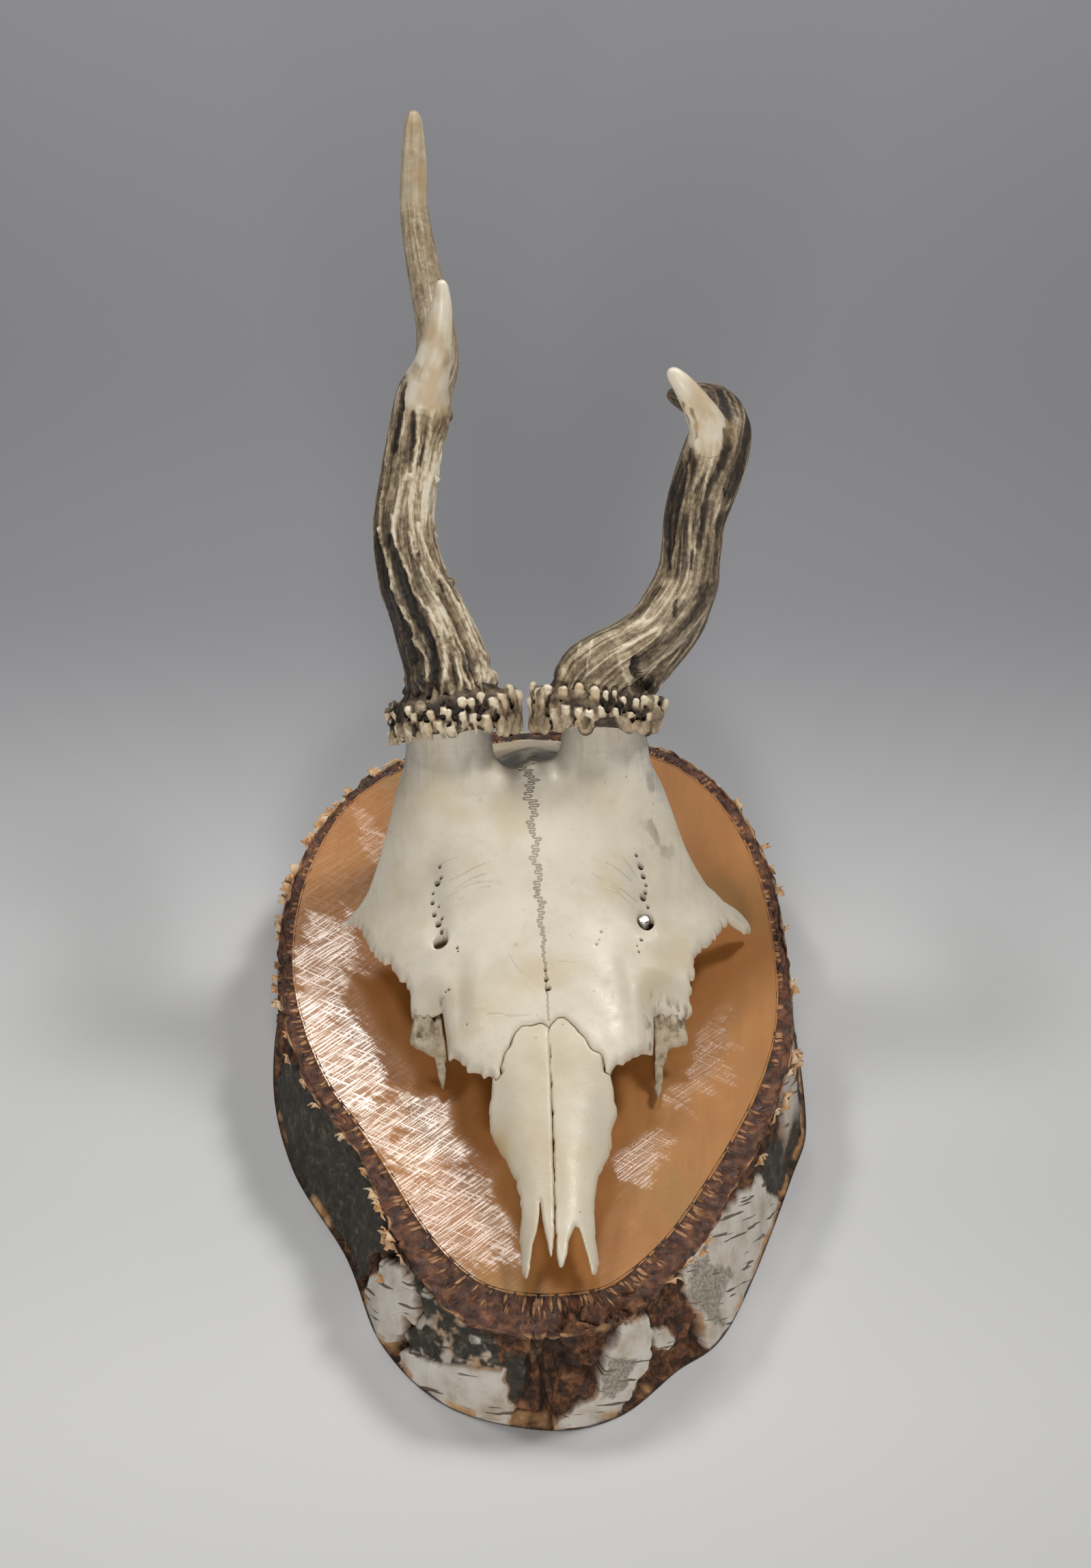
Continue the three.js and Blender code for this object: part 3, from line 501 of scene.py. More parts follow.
class Field:
    """Distances to a surface on a grid of cells, negative inside the body."""

    def __init__(self, low, high, cell):
        self.low = np.array(low, float)
        self.cell = cell
        self.count = np.ceil((np.array(high) - self.low) / cell).astype(int) + 1
        self.value = np.full(self.count, FAR, np.float32)

    def axes(self, low=None, high=None):
        """The grid's x, y and z, ready to broadcast, and the slices of a window."""
        first = np.zeros(3, int)
        last = self.count
        if low is not None:
            first = np.clip(np.floor((low - self.low) / self.cell), 0, self.count).astype(int)
            last = np.clip(np.ceil((high - self.low) / self.cell) + 1, 0, self.count).astype(int)
        lines = [self.low[k] + self.cell * np.arange(first[k], last[k]) for k in range(3)]
        lines = [line.astype(np.float32) for line in lines]
        window = tuple(slice(a, b) for a, b in zip(first, last))
        return lines[0][:, None, None], lines[1][None, :, None], lines[2][None, None, :], window

    def plan(self):
        """The grid's x and y as maps in plan, and the places in plan."""
        x, y, _, _ = self.axes()
        x, y = np.meshgrid(x.ravel().astype(float), y.ravel().astype(float), indexing="ij")
        return x, y, flat_places(x, y)

    def like(self):
        """An empty field on the same grid."""
        twin = Field(self.low, self.low, self.cell)
        twin.count = self.count
        twin.value = np.full(self.count, FAR, np.float32)
        return twin

    def capsule(self, a, b, radius_a, radius_b, reach=0.0, carve=False, spare=1.5):
        """Joins or carves a rod with round ends, blended over the given reach."""
        a, b = np.array(a, float), np.array(b, float)
        margin = max(radius_a, radius_b) + reach + spare
        x, y, z, window = self.axes(np.minimum(a, b) - margin, np.maximum(a, b) + margin)
        run = b - a
        length = max(float(run @ run), 1e-9)
        t = ((x - a[0]) * run[0] + (y - a[1]) * run[1] + (z - a[2]) * run[2]) / length
        t = np.clip(t, 0, 1)
        away = (x - a[0] - t * run[0]) ** 2 + (y - a[1] - t * run[1]) ** 2
        away = np.sqrt(away + (z - a[2] - t * run[2]) ** 2)
        rod = away - (radius_a + (radius_b - radius_a) * t)
        old = self.value[window]
        if carve:
            self.value[window] = soft_max(old, -rod, max(reach, 1e-3))
        elif reach:
            self.value[window] = soft_min(old, rod, reach)
        else:
            self.value[window] = np.minimum(old, rod)

    def rod(self, path):
        """Joins a tapering rod along a smooth path of (x, y, z, radius)."""
        for a, b in zip(path[:-1], path[1:]):
            self.capsule(a[:3], b[:3], a[3], b[3], spare=FAR)

    def surface(self):
        """Points and four-sided faces of the surface, one point in each cell it crosses."""
        value = self.value
        inside = value < 0
        n = np.array(value.shape) - 1
        corners = list(np.ndindex(2, 2, 2))
        count = np.zeros(n, np.uint8)
        for i, j, k in corners:
            count += inside[i:i + n[0], j:j + n[1], k:k + n[2]]
        active = (count > 0) & (count < 8)
        cells = np.argwhere(active)
        index = np.full(active.shape, -1, np.int64)
        index[active] = np.arange(len(cells))
        level = {c: value[tuple((cells + np.array(c)).T)] for c in corners}
        total = np.zeros((len(cells), 3))
        hits = np.zeros(len(cells))
        for a in corners:
            for axis in range(3):
                if a[axis]:
                    continue
                b = tuple(1 if k == axis else a[k] for k in range(3))
                crossed = (level[a] < 0) != (level[b] < 0)
                share = level[a][crossed] / (level[a][crossed] - level[b][crossed])
                place = np.tile(np.array(a, float), (crossed.sum(), 1))
                place[:, axis] += share
                total[crossed] += place
                hits[crossed] += 1
        points = self.low + self.cell * (cells + total / hits[:, None])
        faces = []
        for axis in range(3):
            p, q = (axis + 1) % 3, (axis + 2) % 3
            low = [slice(1, -1)] * 3
            high = [slice(1, -1)] * 3
            low[axis] = slice(0, -1)
            high[axis] = slice(1, None)
            out = inside[tuple(low)] & ~inside[tuple(high)]
            into = ~inside[tuple(low)] & inside[tuple(high)]
            for change, order in ((out, (0, 1, 2, 3)), (into, (3, 2, 1, 0))):
                at = np.argwhere(change)
                at[:, p] += 1
                at[:, q] += 1
                ring = []
                for dp, dq in ((-1, -1), (0, -1), (0, 0), (-1, 0)):
                    cell = at.copy()
                    cell[:, p] += dp
                    cell[:, q] += dq
                    ring.append(index[tuple(cell.T)])
                faces.append(np.stack([ring[k] for k in order], axis=1))
        return points, np.concatenate(faces)


def smooth_path(stations, steps=8):
    """Places along a Catmull-Rom curve through stations of (x, y, z, radius)."""
    rows = np.array(stations, float)
    rows = np.vstack([2 * rows[0] - rows[1], rows, 2 * rows[-1] - rows[-2]])
    out = []
    for i in range(1, len(rows) - 2):
        a, b, c, d = rows[i - 1:i + 3]
        for t in np.arange(steps) / steps:
            out.append(0.5 * (2 * b + (c - a) * t + (2 * a - 5 * b + 4 * c - d) * t * t
                              + (3 * b - a - 3 * c + d) * t**3))
    out.append(rows[-2])
    return np.array(out)


def normals(points, faces):
    """Outward directions at the points of a mesh of four-sided faces."""
    diagonals = (points[faces[:, k + 2]] - points[faces[:, k]] for k in (0, 1))
    cross = np.cross(*diagonals)
    total = np.stack([
        sum(np.bincount(faces[:, k], cross[:, axis], len(points)) for k in range(4))
        for axis in range(3)], axis=1)
    return total / np.maximum(np.linalg.norm(total, axis=1, keepdims=True), 1e-12)


# --------------------------------------------------------------------------- meshes


def mesh_piece(name, points, faces, material, nodes, floats=None, vectors=None):
    """A smooth mesh piece from points in mm, with values that its material reads."""
    mesh = bpy.data.meshes.new(name)
    points = np.asarray(points, float)
    faces = np.asarray(faces)
    mesh.vertices.add(len(points))
    mesh.vertices.foreach_set("co", (points * MM).astype(np.float32).ravel())
    mesh.loops.add(faces.size)
    mesh.loops.foreach_set("vertex_index", faces.ravel().astype(np.int32))
    mesh.polygons.add(len(faces))
    starts = np.arange(0, faces.size, faces.shape[1], dtype=np.int32)
    mesh.polygons.foreach_set("loop_start", starts)
    mesh.update(calc_edges=True)
    mesh.validate()
    mesh.polygons.foreach_set("use_smooth", np.ones(len(mesh.polygons), bool))
    for key, values in (floats or {}).items():
        layer = mesh.attributes.new(key, "FLOAT", "POINT")
        layer.data.foreach_set("value", values.astype(np.float32))
    for key, values in (vectors or {}).items():
        layer = mesh.attributes.new(key, "FLOAT_VECTOR", "POINT")
        layer.data.foreach_set("vector", values.astype(np.float32).ravel())
    mesh.materials.append(material)
    piece = bpy.data.objects.new(name, mesh)
    bpy.context.scene.collection.objects.link(piece)
    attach(piece, "root")
    if nodes:
        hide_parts(*nodes)
    return piece


def refine(points, faces, chosen):
    """Splits the chosen four-sided faces into nine, and their neighbours into fans."""
    mesh = bpy.data.meshes.new("refine")
    mesh.from_pydata(points.tolist(), [], faces.tolist())
    work = bmesh.new()
    work.from_mesh(mesh)
    work.faces.ensure_lookup_table()
    edges = {edge for i in np.flatnonzero(chosen) for edge in work.faces[i].edges}
    bmesh.ops.subdivide_edges(work, edges=list(edges), cuts=2, use_grid_fill=True)
    bmesh.ops.triangulate(work, faces=work.faces)
    work.verts.ensure_lookup_table()
    new_points = np.array([v.co for v in work.verts])
    new_faces = np.array([[v.index for v in f.verts] for f in work.faces])
    work.free()
    bpy.data.meshes.remove(mesh)
    return new_points, new_faces


# ------------------------------------------------------------------------ materials


class Paint:
    """A material's nodes, made one after another by short calls."""

    def __init__(self, name, roughness=0.5, **sockets):
        self.material = bpy.data.materials.new(name)
        self.material.use_nodes = True
        self.tree = self.material.node_tree
        self.shader = self.tree.nodes["Principled BSDF"]
        self.shader.inputs["Roughness"].default_value = roughness
        for socket, value in sockets.items():
            self.shader.inputs[socket.replace("_", " ")].default_value = value

    def put(self, value, socket):
        """Links another node's output to the socket, or sets it."""
        if isinstance(value, bpy.types.NodeSocket):
            self.tree.links.new(value, socket)
        elif value is not None:
            socket.default_value = value

    def node(self, kind, inputs=(), **settings):
        node = self.tree.nodes.new("ShaderNode" + kind)
        for key, value in settings.items():
            setattr(node, key, value)
        for key, value in dict(inputs).items():
            self.put(value, node.inputs[key])
        return node

    def value(self, name):
        """A number that the mesh carries at its points."""
        return self.node("Attribute", attribute_name=name).outputs["Fac"]

    def vector(self, name, scale=(1, 1, 1)):
        """A vector that the mesh carries at its points, stretched."""
        return self.moved(self.node("Attribute", attribute_name=name).outputs["Vector"], Scale=scale)

    def place(self, scale=(1, 1, 1), turn=(0, 0, 0)):
        """The object's own coordinates in millimetres, stretched."""
        there = self.node("TexCoord").outputs["Object"]
        if any(turn):
            there = self.moved(there, Rotation=turn)
        return self.moved(there, Scale=tuple(1000 * s for s in scale))

    def moved(self, vector, **how):
        return self.node("Mapping", {"Vector": vector, **how}).outputs[0]

    def noise(self, vector, scale, detail=3.0, rough=0.55, distortion=0.0):
        inputs = {"Vector": vector, "Scale": scale, "Detail": detail, "Roughness": rough,
                  "Distortion": distortion}
        return self.node("TexNoise", inputs).outputs["Fac"]

    def cells(self, vector, scale):
        """Distance to the nearest of many strewn spots."""
        return self.node("TexVoronoi", {"Vector": vector, "Scale": scale}).outputs["Distance"]

    def math(self, operation, a, b=None, c=None):
        node = self.node("Math", operation=operation)
        for socket, value in zip(node.inputs, (a, b, c)):
            self.put(value, socket)
        return node.outputs[0]

    def plus(self, a, b):
        return self.math("ADD", a, b)

    def minus(self, a, b):
        return self.math("SUBTRACT", a, b)

    def times(self, a, b):
        return self.math("MULTIPLY", a, b)

    def larger(self, a, b):
        return self.math("MAXIMUM", a, b)

    def line(self, value, slope, start):
        return self.math("MULTIPLY_ADD", value, slope, start)

    def range(self, value, low, high, out_low=0.0, out_high=1.0):
        """From out_low to out_high, smoothly, as the value runs from low to high."""
        inputs = {"Value": value, "From Min": low, "From Max": high, "To Min": out_low,
                  "To Max": out_high}
        return self.node("MapRange", inputs, interpolation_type="SMOOTHSTEP").outputs[0]

    def mix(self, share, a, b):
        node = self.node("Mix", data_type="RGBA")
        self.put(share, node.inputs[0])
        for socket, value in ((node.inputs[6], a), (node.inputs[7], b)):
            self.put((*value, 1) if isinstance(value, tuple) else value, socket)
        return node.outputs[2]

    def ramp(self, value, stops):
        node = self.node("ValToRGB", {"Fac": value})
        elements = node.color_ramp.elements
        while len(elements) < len(stops):
            elements.new(1.0)
        for element, (place, color) in zip(elements, stops):
            element.position = place
            element.color = (*color, 1)
        return node.outputs["Color"]

    def bump(self, height, distance, strength):
        inputs = {"Height": height, "Distance": distance * MM, "Strength": strength}
        return self.node("Bump", inputs).outputs["Normal"]

    def done(self, color, roughness=None, normal=None):
        self.put(color, self.shader.inputs["Base Color"])
        self.put(roughness, self.shader.inputs["Roughness"])
        self.put(normal, self.shader.inputs["Normal"])
        return self.material


# Ramps of the materials, each a place from 0 to 1 and the colour there.
BONE_TONES = [(0.32, (0.68, 0.62, 0.50)), (0.5, (0.78, 0.73, 0.62)), (0.68, (0.82, 0.785, 0.69))]
LACRIMAL_TONES = [(0.3, (0.22, 0.16, 0.09)), (0.42, (0.46, 0.38, 0.26)), (0.62, (0.62, 0.55, 0.42))]
ANTLER_TONES = [
    (0.0, (0.012, 0.010, 0.008)), (0.25, (0.055, 0.040, 0.027)), (0.45, (0.19, 0.14, 0.088)),
    (0.65, (0.46, 0.37, 0.25)), (0.85, (0.82, 0.72, 0.54)), (1.0, (0.95, 0.89, 0.75)),
]
WOOD_TONES = [(0.3, (0.33, 0.12, 0.024)), (0.5, (0.43, 0.18, 0.047)), (0.72, (0.51, 0.245, 0.075))]
RING_TONES = [
    (0.34, (0.012, 0.005, 0.003)), (0.5, (0.085, 0.026, 0.012)), (0.66, (0.25, 0.10, 0.045)),
]
FIBRE_TONES = [(0.35, (0.28, 0.12, 0.05)), (0.65, (0.58, 0.33, 0.17))]
WALL_TONES = [
    (0.3, (0.008, 0.005, 0.004)), (0.45, (0.060, 0.027, 0.014)), (0.57, (0.21, 0.085, 0.035)),
    (0.75, (0.42, 0.22, 0.11)),
]
GREY_TONES = [
    (0.3, (0.014, 0.012, 0.009)), (0.55, (0.058, 0.052, 0.038)), (0.75, (0.22, 0.19, 0.14)),
]
PAPER_TONES = [(0.3, (0.50, 0.43, 0.34)), (0.5, (0.70, 0.65, 0.58)), (0.75, (0.82, 0.79, 0.74))]
CORK_TONES = [(0.35, (0.42, 0.19, 0.07)), (0.65, (0.72, 0.46, 0.24))]
FLAKE_TONES = [
    (0.3, (0.34, 0.15, 0.06)), (0.45, (0.66, 0.38, 0.18)), (0.6, (0.78, 0.62, 0.43)),
    (0.75, (0.80, 0.74, 0.64)),
]
STEEL_TONES = [(0.3, (0.36, 0.36, 0.35)), (0.7, (0.78, 0.78, 0.77))]
# Single colours that are laid over the ramps.
BONE_MOTTLE, BONE_COOL, BONE_WARM = (0.60, 0.54, 0.42), (0.46, 0.45, 0.42), (0.62, 0.50, 0.30)
BONE_STREAK, BONE_PORE, BONE_DARK = (0.46, 0.41, 0.32), (0.18, 0.13, 0.08), (0.12, 0.07, 0.03)
LACRIMAL_DARK = (0.09, 0.065, 0.035)
RUST, AMBER = (0.16, 0.075, 0.03), (0.60, 0.39, 0.18)
WOOD_GRAIN, WOOD_OLIVE = (0.33, 0.13, 0.03), (0.33, 0.20, 0.06)
LENTICEL, LICHEN_GREY, BARK_DARK = (0.11, 0.07, 0.045), (0.23, 0.21, 0.155), (0.012, 0.008, 0.006)


def bone_material():
    """Bleached bone: ivory with cooler grooves, brown lines at the sutures, pores, and painted shade that
    cools and darkens the holes, the hollows between the pedicles and the pedicles under the coronets.
    """
    p = Paint("bone", roughness=0.42, Specular_IOR_Level=0.45)
    place = p.vector("local")
    cloud = p.noise(place, 0.055, 4, 0.6)
    mottle = p.noise(place, 0.35, 5, 0.65)
    color = p.ramp(cloud, BONE_TONES)
    color = p.mix(p.range(mottle, 0.5, 0.75, 0, 0.35), color, BONE_MOTTLE)
    # Cooler tone: greyer grooves, and painted shade in the hollows between the pedicles and under the
    # coronets.
    color = p.mix(p.value("cool"), color, BONE_COOL)
    color = p.mix(p.value("warm"), color, BONE_WARM)
    streaks = p.noise(p.vector("local", (1, 0.12, 0.12)), 0.9, 4, 0.6)
    streaked = p.times(p.range(streaks, 0.48, 0.7), p.value("streak"))
    color = p.mix(streaked, color, BONE_STREAK)
    pores = p.cells(place, 0.28)
    pits = p.times(p.range(pores, 0.07, 0.03), p.range(mottle, 0.4, 0.6))
    color = p.mix(p.times(pits, 0.7), color, BONE_PORE)
    # Dark tone: sutures, vessels, cracks and broken edges, and painted shade in the holes and the hollows
    # between the pedicles.
    color = p.mix(p.value("dark"), color, BONE_DARK)
    fine = p.noise(place, 1.8, 3, 0.5)
    height = p.plus(p.times(mottle, 0.6), p.times(fine, 0.25))
    height = p.minus(height, pits)
    rough = p.range(mottle, 0.3, 0.75, 0.28, 0.5)
    return p.done(color, rough, p.bump(height, 0.22, 0.55))


def lacrimal_material():
    """Thin, weathered bone in browns."""
    p = Paint("lacrimal", roughness=0.7)
    place = p.vector("local")
    cloud = p.noise(place, 0.5, 5, 0.7)
    color = p.ramp(cloud, LACRIMAL_TONES)
    color = p.mix(p.value("dark"), color, LACRIMAL_DARK)
    return p.done(color, None, p.bump(cloud, 0.8, 0.7))


def antler_material(name, streak, fleck):
    """Antler: tone runs from black furrows to ivory, broken up by fine streaks."""
    p = Paint(name, roughness=0.45, Specular_IOR_Level=0.5)
    grain = p.vector("grain")
    fine = p.noise(grain, 2.4, 5, 0.65, 0.3)
    coarse = p.noise(grain, 0.8, 4, 0.6, 0.4)
    speck = p.noise(p.place(), 0.9, 4, 0.7)
    calm = p.value("polish")
    lively = p.minus(1.0, calm)
    shift = p.plus(p.times(p.minus(fine, 0.5), streak),
                   p.times(p.minus(coarse, 0.5), streak * 0.7))
    shift = p.plus(shift, p.times(p.minus(speck, 0.5), fleck))
    shift = p.times(shift, p.line(lively, 0.8, 0.2))
    tone = p.plus(p.value("tone"), shift)
    color = p.ramp(tone, ANTLER_TONES)
    rust = p.range(p.noise(p.place(), 0.25, 4, 0.6), 0.58, 0.72, 0, 0.5)
    color = p.mix(p.times(rust, lively), color, RUST)
    amber = p.range(p.noise(p.place((1, 1, 0.5)), 0.16, 3, 0.5), 0.45, 0.62, 0, 0.55)
    color = p.mix(p.times(amber, calm), color, AMBER)
    rough = p.range(tone, 0.15, 0.9, 0.55, 0.3)
    height = p.plus(p.times(fine, 0.8), p.times(speck, 0.35))
    height = p.times(height, p.line(lively, 0.9, 0.1))
    return p.done(color, rough, p.bump(height, 0.35, 0.8))


# Where the varnish still shines on the wood: x and y of the patch, its half sizes in mm,
# how far it is turned in degrees and how strongly it shines.
SHINE = [
    (-45, -8, 9, 22, -28, 0.95), (-21, -28, 9, 17, 32, 0.95), (-20, -54, 17, 13, 30, 0.75),
    (-47, 15, 8, 17, 10, 0.6), (-36, -30, 5, 12, 40, 0.8), (-34, 48, 4, 16, -30, 0.25),
    (19, -37, 6, 9, 30, 1.0), (31, -8, 9, 16, 20, 0.7),
]


def wood_material():
    """Birch: orange grain under old varnish, which is scratched and shines only in patches."""
    p = Paint("birch_wood", roughness=0.5, Specular_IOR_Level=0.35, Coat_Weight=0.5,
              Coat_Roughness=0.16, Coat_IOR=2.05)
    cloud = p.noise(p.place((1, 0.7, 1), (0, 0, 0.2)), 0.03, 4, 0.6, 0.4)
    grain = p.noise(p.place((1.0, 0.12, 1)), 0.5, 5, 0.65, 0.3)
    color = p.ramp(cloud, WOOD_TONES)
    color = p.mix(p.range(grain, 0.42, 0.7, 0.0, 0.3), color, WOOD_GRAIN)
    olive = p.noise(p.place((1, 0.5, 1), (0, 0, -0.3)), 0.045, 3, 0.55)
    color = p.mix(p.range(olive, 0.55, 0.72, 0, 0.5), color, WOOD_OLIVE)
    saw = p.noise(p.place((0.13, 2.3, 1), (0, 0, -0.75)), 1.0, 2, 0.6, 0.15)
    rub = p.noise(p.place((0.11, 1.8, 1), (0, 0, 0.5)), 1.0, 2, 0.6, 0.15)
    scratch = p.range(p.larger(saw, p.minus(rub, 0.06)), 0.45, 0.61, 0.0, 1.0)
    ragged = p.noise(p.place((0.5, 1.6, 1), (0, 0, 0.6)), 0.16, 5, 0.7)
    bloom = None
    for x, y, half_x, half_y, turn, strength in SHINE:
        there = p.moved(p.place(), Location=(-x, -y, 0))
        there = p.moved(there, Rotation=(0, 0, math.radians(turn)))
        there = p.moved(there, Scale=(1 / half_x, 1 / half_y, 0))
        away = p.node("VectorMath", {0: there}, operation="LENGTH").outputs["Value"]
        inside = p.minus(p.line(ragged, 2.4, -0.2), away)
        share = p.range(inside, -0.1, 0.3, 0.0, strength)
        bloom = share if bloom is None else p.larger(bloom, share)
    weight = p.times(bloom, p.line(scratch, 0.88, 0.12))
    weight = p.larger(weight, p.times(scratch, 0.05))
    p.put(weight, p.shader.inputs["Coat Weight"])
    height = p.plus(p.times(saw, 0.5), p.times(rub, 0.4))
    p.put(p.bump(height, 0.05, 0.8), p.shader.inputs["Coat Normal"])
    return p.done(color, None, p.bump(height, 0.15, 0.6))


def bark_material():
    """Birch bark: a red-brown cut ring with a comb of tan fibres, and a wall that is
    fissured brown, grey-black or peeling white with dark lenticels."""
    p = Paint("birch_bark", roughness=0.7)
    rim = p.vector("rim")
    place = p.place()
    # The cut ring: tan fibre bundles stand next to the wood, dark glossy bark lies outside.
    cloud = p.noise(place, 0.35, 5, 0.65)
    ring = p.ramp(cloud, RING_TONES)
    share = p.node("SeparateXYZ", {"Vector": rim}).outputs[2]
    comb = p.cells(p.vector("rim", (0.85, 0.22, 0)), 1.0)
    inner = p.times(p.range(share, 0.42, 0.62), p.range(share, 0.97, 0.9))
    strewn = p.range(p.noise(p.vector("rim", (1, 1, 0)), 0.16, 3, 0.6), 0.55, 0.66, 0.0, 0.8)
    fleck = p.times(p.range(comb, 0.50, 0.34), p.larger(inner, strewn))
    tan = p.ramp(p.noise(place, 0.8, 3), FIBRE_TONES)
    ring = p.mix(fleck, ring, tan)
    # The wall's brown bark.
    crumb = p.noise(place, 0.42, 6, 0.7, 0.5)
    wall = p.ramp(crumb, WALL_TONES)
    wall = p.mix(p.value("grey"), wall, p.ramp(crumb, GREY_TONES))
    # Trunk coordinates: x is round it, z along it.
    trunk = p.vector("trunk")
    stain = p.noise(trunk, 0.16, 5, 0.6)
    paper = p.ramp(stain, PAPER_TONES)
    lens = p.noise(p.vector("trunk", (0.16, 0.16, 1.7)), 0.62, 2, 0.4)
    paper = p.mix(p.range(lens, 0.62, 0.66, 0, 0.9), paper, LENTICEL)
    speckle = p.range(p.noise(place, 1.6, 4, 0.6), 0.35, 0.65, 0.45, 0.95)
    paper = p.mix(p.times(p.value("lichen"), speckle), paper, LICHEN_GREY)
    wall = p.mix(p.value("white"), wall, paper)
    cork = p.ramp(crumb, CORK_TONES)
    wall = p.mix(p.value("peel"), wall, cork)
    color = p.mix(p.value("ring"), wall, ring)
    color = p.mix(p.times(p.value("peel"), p.value("ring")), color, cork)
    color = p.mix(p.value("dark"), color, BARK_DARK)
    gloss = p.range(cloud, 0.3, 0.7, 0.5, 0.25)
    rough = p.minus(0.76, p.times(p.value("ring"), gloss))
    height = p.plus(p.times(crumb, 0.9), p.times(fleck, 0.6))
    flat = p.line(p.value("white"), -0.75, 1.0)
    return p.done(color, rough, p.bump(p.times(height, flat), 0.8, 0.9))


def flake_material():
    """The inner side of peeling bark, from brown to cream."""
    p = Paint("birch_flake", roughness=0.6)
    cloud = p.noise(p.place(), 0.3, 4, 0.6)
    color = p.ramp(cloud, FLAKE_TONES)
    return p.done(color, None, p.bump(p.noise(p.place(), 1.4, 3), 0.3, 0.5))


def steel_material():
    """Cut steel with the marks of the pliers."""
    p = Paint("steel", roughness=0.28, Metallic=1.0)
    marks = p.noise(p.place((2.2, 0.25, 1), (0, 0, 0.5)), 2.2, 3, 0.6)
    color = p.ramp(marks, STEEL_TONES)
    return p.done(color, p.range(marks, 0.3, 0.7, 0.2, 0.42), p.bump(marks, 0.12, 0.8))


# ---------------------------------------------------------------------------- skull


def cap_top(x, y):
    """Height of the cap's upper surface, with its grooves and the step to the lacrimals."""
    outwards = np.abs(x) / along(REFERENCE, y)
    height = along(MIDLINE, y) - along(FALL, y) * outwards**FALL_POWER
    side = np.abs(x)
    trough = bell(side - 21.6, 2.2) * step(23, 27, y) * step(42, 38, y)
    sulcus = bell(side - 18.5 + 0.08 * (y - 10), 2.8) * step(-8, 4, y) * step(24, 16, y)
    swell = bell(side - 9, 7) * bell(y - 12, 14)
    corner = step(18, 10.5, y) * step(18.5, 24.5, side)
    return height - 0.9 * trough - 0.7 * sulcus + 0.5 * swell - 3.0 * corner


def cap_bottom(x, y):
    """Height of the cap's lower surface: a shell in front, solid under the pedicles."""
    shell = SHELL_FRONT + (SHELL_REAR - SHELL_FRONT) * step(-30, 5, y)
    solid = step(26, 36, y) * step(31, 24, np.abs(x))
    low = cap_top(x, y) - shell
    return np.maximum(low + (LOWEST - low) * solid, LOWEST)


def plate_distance(field, top, bottom, rounding):
    """Distance to the layer between two height maps over a field's plan."""
    _, _, z, _ = field.axes()
    rise_x, rise_y = np.gradient(top, field.cell)
    lean = column(1 / np.sqrt(1 + rise_x**2 + rise_y**2))
    return soft_max((z - column(top)) * lean, (column(bottom) - z) * lean, rounding)


def braincase_distance(field):
    """Distance to the dome, which has a low keel along its middle in front."""
    x, y, z, _ = field.axes()
    half = along(BRAINCASE, y).astype(np.float32)
    high = along(MIDLINE, y).astype(np.float32)
    saddle = 0.9 * bell(x, 2.6) * bell(y - 66, 11) - 2.5 * bell(np.abs(x) - 9, 5.5) * bell(y - 67, 8)
    high = high + saddle.astype(np.float32)
    up = np.maximum(z, 0)
    share = (np.abs(x) / half) ** BRAINCASE_POWER + (up / high) ** BRAINCASE_POWER
    share = share ** (1 / BRAINCASE_POWER)
    far = np.sqrt(x * x + up * up)
    dome = far * (share - 1) / np.maximum(share, 1e-3)
    return np.maximum(dome, LOWEST - z)


def coronal_suture(x):
    """The wavering seam between the frontals and the parietal."""
    return CORONAL_SUTURE + 0.5 * np.sin(1.1 * x) + 0.3 * np.sin(2.7 * x + 1) - 0.5


def midline_suture():
    """The knitted suture between the frontals: tight loops behind, a plain crack in front."""
    rng = np.random.default_rng(SEEDS["suture"])
    y, side, start, places = 66.0, 1, 0.0, []
    share = np.arange(8) / 8
    while y > 2.5:
        wide = np.interp(y, [2, 15, 22, 30, 45, 60, 66], [0.06, 0.16, 0.55, 0.95, 1.2, 1.6, 1.9])
        wander = 0.45 * wide * math.sin(0.9 * y) + 0.3 * wide * math.sin(2.3 * y + 1)
        end = side * wide * (0.35 + 0.5 * rng.random()) + wander
        fall = (0.36 + 0.3 * rng.random()) * np.interp(y, [2, 15, 25, 66], [1.6, 1.3, 1.0, 1.0])
        knot = 1.0 + 1.0 * rng.random()
        x = start + (end - start) * (0.5 - 0.5 * np.cos(math.pi * share))
        down = fall * (share + knot * np.sin(2 * math.pi * share) / (2 * math.pi))
        places += list(zip(along(MIDLINE_SUTURE, y - down) + x, y - down))
        start, side, y = end, -side, y - fall
    return places


def line_distance(places, lines, reach):
    """Distance in plan from places to the nearest of some polylines, up to a reach."""
    nearest = np.full(len(places), float(reach))
    x, y = places[:, 0], places[:, 1]
    order = np.argsort(y)
    sorted_y = y[order]
    for line in lines:
        for (ax, ay), (bx, by) in zip(line[:-1], line[1:]):
            first, last = np.searchsorted(sorted_y, [min(ay, by) - reach, max(ay, by) + reach])
            near = order[first:last]
            near = near[np.abs(x[near] - (ax + bx) / 2) < reach + abs(ax - bx)]
            ex, ey = bx - ax, by - ay
            px, py = x[near] - ax, y[near] - ay
            t = np.clip((px * ex + py * ey) / max(ex * ex + ey * ey, 1e-9), 0, 1)
            nearest[near] = np.minimum(nearest[near], np.hypot(px - t * ex, py - t * ey))
    return nearest


def frontal_plan(x, y):
    """Distance in plan to the frontal bones' outline, with its torn and toothed edge."""
    flat = flat_places(x, y)
    edge = outline_distance(FRONTALS, x, y)
    orbit = step(25, 29, np.abs(x)) * step(44, 41, y)
    edge = edge + orbit * (0.5 * noise(flat, 1.1, 3) + 0.35 * noise(flat, 3, 4))
    return edge + (1 - orbit) * step(0, -4, y) * 0.7 * noise(flat, 1.6, 5)


